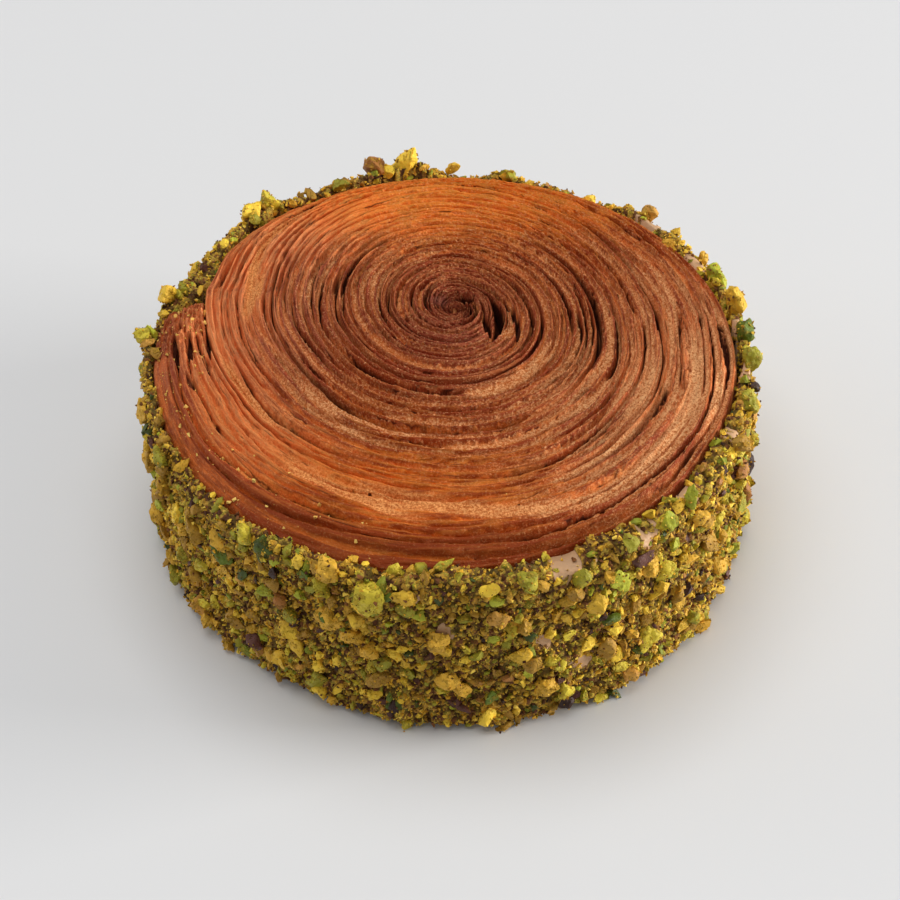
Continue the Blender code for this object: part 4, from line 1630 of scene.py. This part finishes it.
class Strewing(ShapeGraph):
    """The tree that strews small pieces over a surface, largest sizes rarest."""

    RARITY = 2.4
    LONG, BROAD, THICK = (0.95, 1.6), (0.7, 1.05), (0.8, 1.2)
    LEAN = 0.5

    def __init__(self) -> None:
        """Build the tree."""
        super().__init__("strewing", {
            "Spacing": 1.0 * MM, "Amount": 1.0e6, "Small": 0.5 * MM, "Large": 1.2 * MM, "Sink": 0.1,
            "Low": 0.0, "High": 1.0, "Flat": 0.7, "Seed": 1, "Shapes": bpy.types.Collection,
            "Finish": bpy.types.Material})
        scatter = self.tree.nodes.new("GeometryNodeDistributePointsOnFaces")
        scatter.distribute_method = "POISSON"
        for label, value in (("Mesh", self.geometry), ("Distance Min", self.size("Spacing")),
                             ("Density Max", self.size("Amount")), ("Seed", self.size("Seed")),
                             ("Density Factor", self.attribute("cover"))):
            self.feed(scatter.inputs[label], value)
        self.geometry = Term(self, scatter.outputs["Points"])
        normal, facing = Term(self, scatter.outputs["Normal"]), Term(self, scatter.outputs["Rotation"])
        seed = self.size("Seed")
        self.store("tone", self.draw(0.0, 1.0, seed + 1))
        self.store("cover", self.draw(0.1, 0.9, seed + 8))
        chosen = self.draw(0.0, 1.0, seed + 2)
        keep = self.math("GREATER_THAN", chosen, self.size("Low")) \
            * self.math("LESS_THAN", chosen, self.size("High"))
        large = self.draw(0.0, 1.0, seed + 3) ** self.RARITY
        size = self.size("Small") + (self.size("Large") - self.size("Small")) * large
        self.move(self.scaled(normal, size * self.size("Sink")))
        most = (self.LEAN, self.LEAN, math.pi)
        spin = self.draw(tuple(-angle for angle in most), most, seed + 4, "FLOAT_VECTOR")
        spun = self.node("FunctionNodeRotateRotation", {"rotation_space": "LOCAL"}, {0: facing, 1: spin})
        stretch = self.vector(self.draw(*self.LONG, seed + 5), self.draw(*self.BROAD, seed + 6),
                              self.size("Flat") * self.draw(*self.THICK, seed + 7))
        shapes = self.node("GeometryNodeCollectionInfo", None, {
            "Collection": self.size("Shapes"), "Separate Children": True, "Reset Children": True})
        self.geometry = self.node("GeometryNodeInstanceOnPoints", None, {
            "Points": self.geometry, "Selection": keep, "Instance": shapes, "Pick Instance": True,
            "Rotation": spun, "Scale": self.scaled(stretch, size)})
        self.geometry = self.node("GeometryNodeRealizeInstances", None, {"Geometry": self.geometry})
        x, y, z = (self.node("ShaderNodeSeparateXYZ", None, {0: self.place()}, axis) for axis in range(3))
        self.geometry = self.node("GeometryNodeSetPosition", None, {
            "Geometry": self.geometry, "Position": self.vector(x, y, self.math("MAXIMUM", z, 0.0))})
        self.close(self.size("Finish"))


@dataclass
class PistachioCoat:
    """The coat round the side: bed of glaze and crumb, chopped pieces and loose crumbs."""

    spiral: Spiral = field(default_factory=Spiral)
    form: CoatForm = field(default_factory=CoatForm)
    foot: float = 0.7 * MM
    undercut: float = 0.9 * MM
    lip: float = 0.5 * MM
    brow: float = 1.5 * MM
    ragged: float = 0.35 * MM
    shoulder: float = 1.6 * MM
    clearance: float = 0.05 * MM
    columns: int = 1000
    side_rows: int = 80
    rim_rows: int = 12
    bedding: float = 1.0 * MM
    shelf: float = 30.0 * MM
    bare: tuple[tuple[float, float, float], ...] = (
        (290.5, 34.6, 3.0), (292.6, 11.9, 2.0), (285.8, 19.3, 1.7), (268.0, 23.5, 1.8), (306.0, 32.5, 2.2),
        (318.0, 33.5, 2.4), (6.0, 34.6, 2.8), (354.0, 34.8, 2.8), (28.0, 34.8, 3.0), (335.0, 33.0, 2.2),
        (262.5, 30.5, 1.8), (42.0, 34.8, 2.4), (160.0, 28.0, 2.4), (120.0, 20.0, 2.4), (70.0, 26.0, 2.6),
        (200.0, 12.0, 2.0), (20.0, 15.0, 2.6), (340.0, 14.0, 2.0),
    )

    def profile(self, heading: Array, inner: Array) -> list[tuple[Array, Array, float]]:
        """The ring's rows, from the inner foot round the outside to the inner top.

        Args:
            heading: Directions of the columns.
            inner: Radius of the coil at each column.

        Returns:
            Each row's radii and heights, and 1 where nuts cling or 0.
        """
        foot = np.full(self.columns, self.foot)
        rows = [(inner, foot, 0.0), (self.form.outside(heading, 0.0 * heading) - self.undercut, foot, 0.0)]
        shoulder = self.form.crest(np.degrees(heading)) - self.shoulder
        for row in range(self.side_rows + 1):
            z = self.foot + self.lip + (shoulder - self.foot - self.lip) * row / self.side_rows
            rows.append((self.form.outside(heading, z), z, 1.0))
        face = self.form.outside(heading, shoulder)
        ragged = (np.sin(11 * heading) + np.sin(23 * heading + 1.0)) * self.ragged
        for row in range(1, self.rim_rows + 1):
            a = row / self.rim_rows * math.pi / 2
            rows.append((inner + (face - inner) * max(math.cos(a), 0.0) ** 0.5,
                         shoulder + (self.brow + ragged) * math.sin(a), 1.0))
        return rows

    def away(self, points: Array, direction: float, level: float) -> tuple[Array, Array]:
        """How far points are from a spot on the side.

        Args:
            points: The points.
            direction: The spot's compass direction.
            level: Its height in mm.

        Returns:
            Degrees round from the spot, and the distance in mm.
        """
        around = turned(np.degrees(np.arctan2(points[:, 1], points[:, 0])), direction)
        return around, np.hypot(around * math.radians(self.form.radius / MM), points[:, 2] / MM - level)

    def ring(self) -> bpy.types.Object:
        """The closed ring that the bed's relief starts from.

        Returns:
            The plain ring, with its marks.
        """
        t = np.arange(self.columns) / self.columns
        rim = self.spiral.place(np.zeros(self.columns, dtype=int), t * 0.0, t)
        heading = np.arctan2(rim["y"], rim["x"])
        profile = self.profile(heading, np.hypot(rim["x"], rim["y"]) + self.clearance)
        points = np.concatenate([np.stack([r * np.cos(heading), r * np.sin(heading), z], axis=1)
                                 for r, z, _ in profile])
        cover = np.repeat([cover for *_, cover in profile], self.columns)
        faces = []
        for row in range(len(profile)):
            here, above = row * self.columns, (row + 1) % len(profile) * self.columns
            for i in range(self.columns):
                j = (i + 1) % self.columns
                faces.append((here + i, here + j, above + j, above + i))
        bare, bed = np.zeros(len(points)), np.zeros(len(points))
        for direction, level, size in self.bare:
            around, gone = self.away(points, direction, level)
            ripple = 1.0 + 0.35 * np.sin(around * 1.7 + level) * np.cos(points[:, 2] / MM * 1.3) \
                + 0.2 * np.sin(around * 4.1 - points[:, 2] / MM * 2.3)
            bare = np.maximum(bare, 1.0 - ease(0.55 * size, size, gone * ripple))
        for nut in LARGE_NUTS:
            _, gone = self.away(points, nut.direction, nut.height)
            bed = np.maximum(bed, np.exp(-(gone / (0.62 * nut.length)) ** 2))
        bed = bed * cover * self.bedding
        around = np.arctan2(points[:, 1], points[:, 0])
        points += np.stack([np.cos(around) * bed, np.sin(around) * bed,
                            0.7 * bed * (points[:, 2] > self.shelf)], axis=1)
        marks = {"bare": bare * cover, "cover": cover * (1.0 - 0.8 * bare)}
        return plain_mesh("coat_ring", points, faces, marks)

    def bed_tree(self) -> ShapeGraph:
        """The tree that roughens the ring into crumb and bare glaze.

        Returns:
            The tree.
        """
        g = ShapeGraph("crumb_bed", {"Lump": 1.4 * MM, "Bit": 0.7 * MM, "Swell": 1.0 * MM,
                                     "Finish": bpy.types.Material})
        place, bare, cover = g.place(), g.attribute("bare"), g.attribute("cover")
        normal = g.node("GeometryNodeInputNormal")
        lumps, bits = 1.0 - g.cells(place, 600.0), 1.0 - g.cells(place, 1150.0)
        tone = g.node("ShaderNodeSeparateXYZ", None, {0: g.cells(place, 1150.0, "Color")})
        swell = g.noise(place, 260.0, 3.0, 0.6)
        rise = (lumps - 0.55) * g.size("Lump") * (0.5 + tone) + (bits - 0.5) * g.size("Bit") \
            + (swell - 0.5) * 2.0 * g.size("Swell")
        rise = rise * (1.0 - 0.9 * bare) - 0.15 * MM * bare
        g.store("tone", tone)
        # Painted shade: the deep mark is high in the bed's hollows, which its finish draws near-black.
        g.store("deep", g.ease(lumps * 0.35 + bits * 0.35 + swell * 0.3, 0.62, 0.44) * (1.0 - bare))
        g.move(g.scaled(normal, rise * g.ease(cover + bare, 0.0, 0.6)))
        g.close(g.size("Finish"))
        return g

    def nuts(self, strew: Strewing, bed: bpy.types.Object,
             perch: bpy.types.Object) -> list[bpy.types.Object]:
        """The chopped pieces: large ones, and smaller ones strewn between them.

        Args:
            strew: The strewing tree.
            bed: What they lie on.
            perch: Gathers them all, for crumbs to cling to.

        Returns:
            One piece for each kind.
        """
        chunks = Prototypes("chunk", 16, 31).build(Prototypes.chopped)
        large = LargeNuts().build()
        made, low = [], 0.0
        for kind in NutKind:
            finish = kind.finish.material()
            heap = strew.run(bed, kind.finish.name, {
                "Spacing": 1.5 * MM, "Small": 0.8 * MM, "Large": 2.6 * MM, "Sink": 0.08, "Low": low,
                "High": low + kind.share, "Flat": 0.88, "Seed": 40, "Shapes": chunks, "Finish": finish})
            low += kind.share
            self.add(heap, large[kind], finish)
            self.add(perch, heap.data)
            bpy.data.meshes.remove(large[kind])
            made.append(heap)
        Prototypes.discard(chunks)
        return made

    def crumbs(self, strew: Strewing, bed: bpy.types.Object,
               perch: bpy.types.Object) -> list[bpy.types.Object]:
        """The loose crumbs: on the bed, and finer ones clinging to the chopped pieces.

        Args:
            strew: The strewing tree.
            bed: What most of them lie on.
            perch: The chopped pieces.

        Returns:
            One piece for each kind.
        """
        grains = Prototypes("grain", 10, 32).build(Prototypes.crumb)
        made = []
        for kind in CrumbKind:
            finish, low, high = kind.value
            skin = finish.material()
            sizes = {"Spacing": 0.58 * MM, "Small": 0.34 * MM, "Large": 1.1 * MM, "Sink": 0.25, "Flat": 0.95,
                     "Low": low, "High": high, "Seed": 50, "Shapes": grains, "Finish": skin}
            heap = strew.run(bed, finish.name, {**sizes, "Amount": 4.0e6})
            sizes.update({"Small": 0.28 * MM, "Large": 0.8 * MM, "Amount": 2.2e6})
            clinging = strew.run(perch, finish.name, sizes)
            self.add(heap, clinging.data, skin)
            drop(clinging)
            made.append(heap)
        Prototypes.discard(grains)
        return made

    def build(self) -> list[bpy.types.Object]:
        """Build the bed, the chopped pieces of each kind and the crumbs.

        Returns:
            The pieces.
        """
        ring, strew = self.ring(), Strewing()
        bed = self.bed_tree().run(ring, "coat_bed", {"Finish": CoatBed().material()})
        perch = link("perch", bpy.data.meshes.new("perch"))
        made = [bed, *self.nuts(strew, bed, perch), *self.crumbs(strew, bed, perch)]
        drop(perch, ring)
        return made

    @staticmethod
    def add(heap: bpy.types.Object, extra: bpy.types.Mesh, finish: bpy.types.Material | None = None) -> None:
        """Join a mesh onto an object.

        Args:
            heap: The object to grow.
            extra: The mesh to add.
            finish: The material of both, if they have one.
        """
        body = bmesh.new()
        body.from_mesh(heap.data)
        body.from_mesh(extra)
        body.to_mesh(heap.data)
        body.free()
        heap.data.materials.clear()
        if finish:
            heap.data.materials.append(finish)


@dataclass(frozen=True)
class Lamp:
    """A square soft light: where it hangs, its width, its watts and its colour."""

    name: str
    spot: tuple[float, float, float]
    size: float
    power: float
    colour: Colour

    def hang(self, aim: Vector) -> None:
        """Hang the light, aimed at a point.

        Args:
            aim: The point.
        """
        light = bpy.data.lights.new(self.name, "AREA")
        light.shape, light.size, light.energy, light.color = "SQUARE", self.size, self.power, self.colour
        holder = bpy.data.objects.new(self.name, light)
        holder.location = self.spot
        holder.rotation_euler = (aim - Vector(self.spot)).to_track_quat("-Z", "Y").to_euler()
        bpy.context.scene.collection.objects.link(holder)


@dataclass
class Studio:
    """Pale floor, soft light and the camera at the photo's viewing angle; angles are radians."""

    tilt: float = 0.76636
    distance: float = 0.45995
    target: tuple[float, float] = (0.000116, 0.01292)
    roll: float = -0.03317
    lens: float = 100.0
    sensor: float = 36.0
    aim: tuple[float, float, float] = (0.0, 0.0, 0.02)
    lamps: tuple[Lamp, ...] = (
        Lamp("key_light", (1.08, 0.02, 0.18), 0.5, 15.6, (1.0, 0.985, 0.955)),
        Lamp("fill_light", (-0.95, 0.25, 0.30), 0.6, 2.2, (1.0, 0.99, 0.97)),
        Lamp("top_light", (-0.08, 0.12, 1.25), 1.1, 9.1, (0.98, 0.99, 1.0)),
    )
    sky: tuple[float, ...] = (0.955, 0.955, 0.975, 1.0)
    sky_strength: float = 0.33
    floor: tuple[float, ...] = (0.745, 0.745, 0.745, 1.0)
    floor_half: float = 3.0

    def camera(self) -> None:
        """Set the camera."""
        c, s = math.cos(self.tilt), math.sin(self.tilt)
        right, up, back = Vector((1, 0, 0)), Vector((0, s, c)), Vector((0, -c, s))
        cr, sr = math.cos(self.roll), math.sin(self.roll)
        x_axis, y_axis = right * cr + up * sr, up * cr - right * sr
        seen = bpy.data.cameras.new("camera")
        seen.lens, seen.sensor_width = self.lens, self.sensor
        seen.clip_start, seen.clip_end = 0.01, 50.0
        holder = bpy.data.objects.new("camera", seen)
        turn = Matrix((x_axis, y_axis, back)).transposed().to_4x4()
        spot = Vector((*self.target, 0.0)) + back * self.distance
        holder.matrix_world = Matrix.Translation(spot) @ turn
        bpy.context.scene.collection.objects.link(holder)
        bpy.context.scene.camera = holder

    def build(self) -> bpy.types.Object:
        """Build the studio.

        Returns:
            The floor.
        """
        self.camera()
        for lamp in self.lamps:
            lamp.hang(Vector(self.aim))
        world = bpy.data.worlds.new("studio")
        world.use_nodes = True
        sky = world.node_tree.nodes["Background"].inputs
        sky["Color"].default_value, sky["Strength"].default_value = self.sky, self.sky_strength
        bpy.context.scene.world = world
        bpy.context.scene.view_settings.view_transform = "Standard"
        half = self.floor_half
        corners = [(-half, -half, 0.0), (half, -half, 0.0), (half, half, 0.0), (-half, half, 0.0)]
        floor = plain_mesh("floor", np.array(corners), [(0, 1, 2, 3)])
        finish = FinishGraph("pale_floor", Roughness=0.55, Base_Color=self.floor)
        floor.data.materials.append(finish.material)
        return floor


def main() -> None:
    """Build the roll, ride each piece on the frame and report it."""
    logging.basicConfig(level=logging.INFO, format="%(name)s: %(message)s")
    for node, slot, pieces in (("pastry_coil", "baked_crust", PastryCoil().build()),
                               ("pistachio_coat", "pistachio", PistachioCoat().build())):
        for piece in pieces:
            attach(piece, "root")
            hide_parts(node)
            triangles = sum(len(face.vertices) - 2 for face in piece.data.polygons)
            LOG.info("%s: %d triangles, for %s", piece.name, triangles, node)
    Studio().build()


if __name__ == "__main__":
    main()
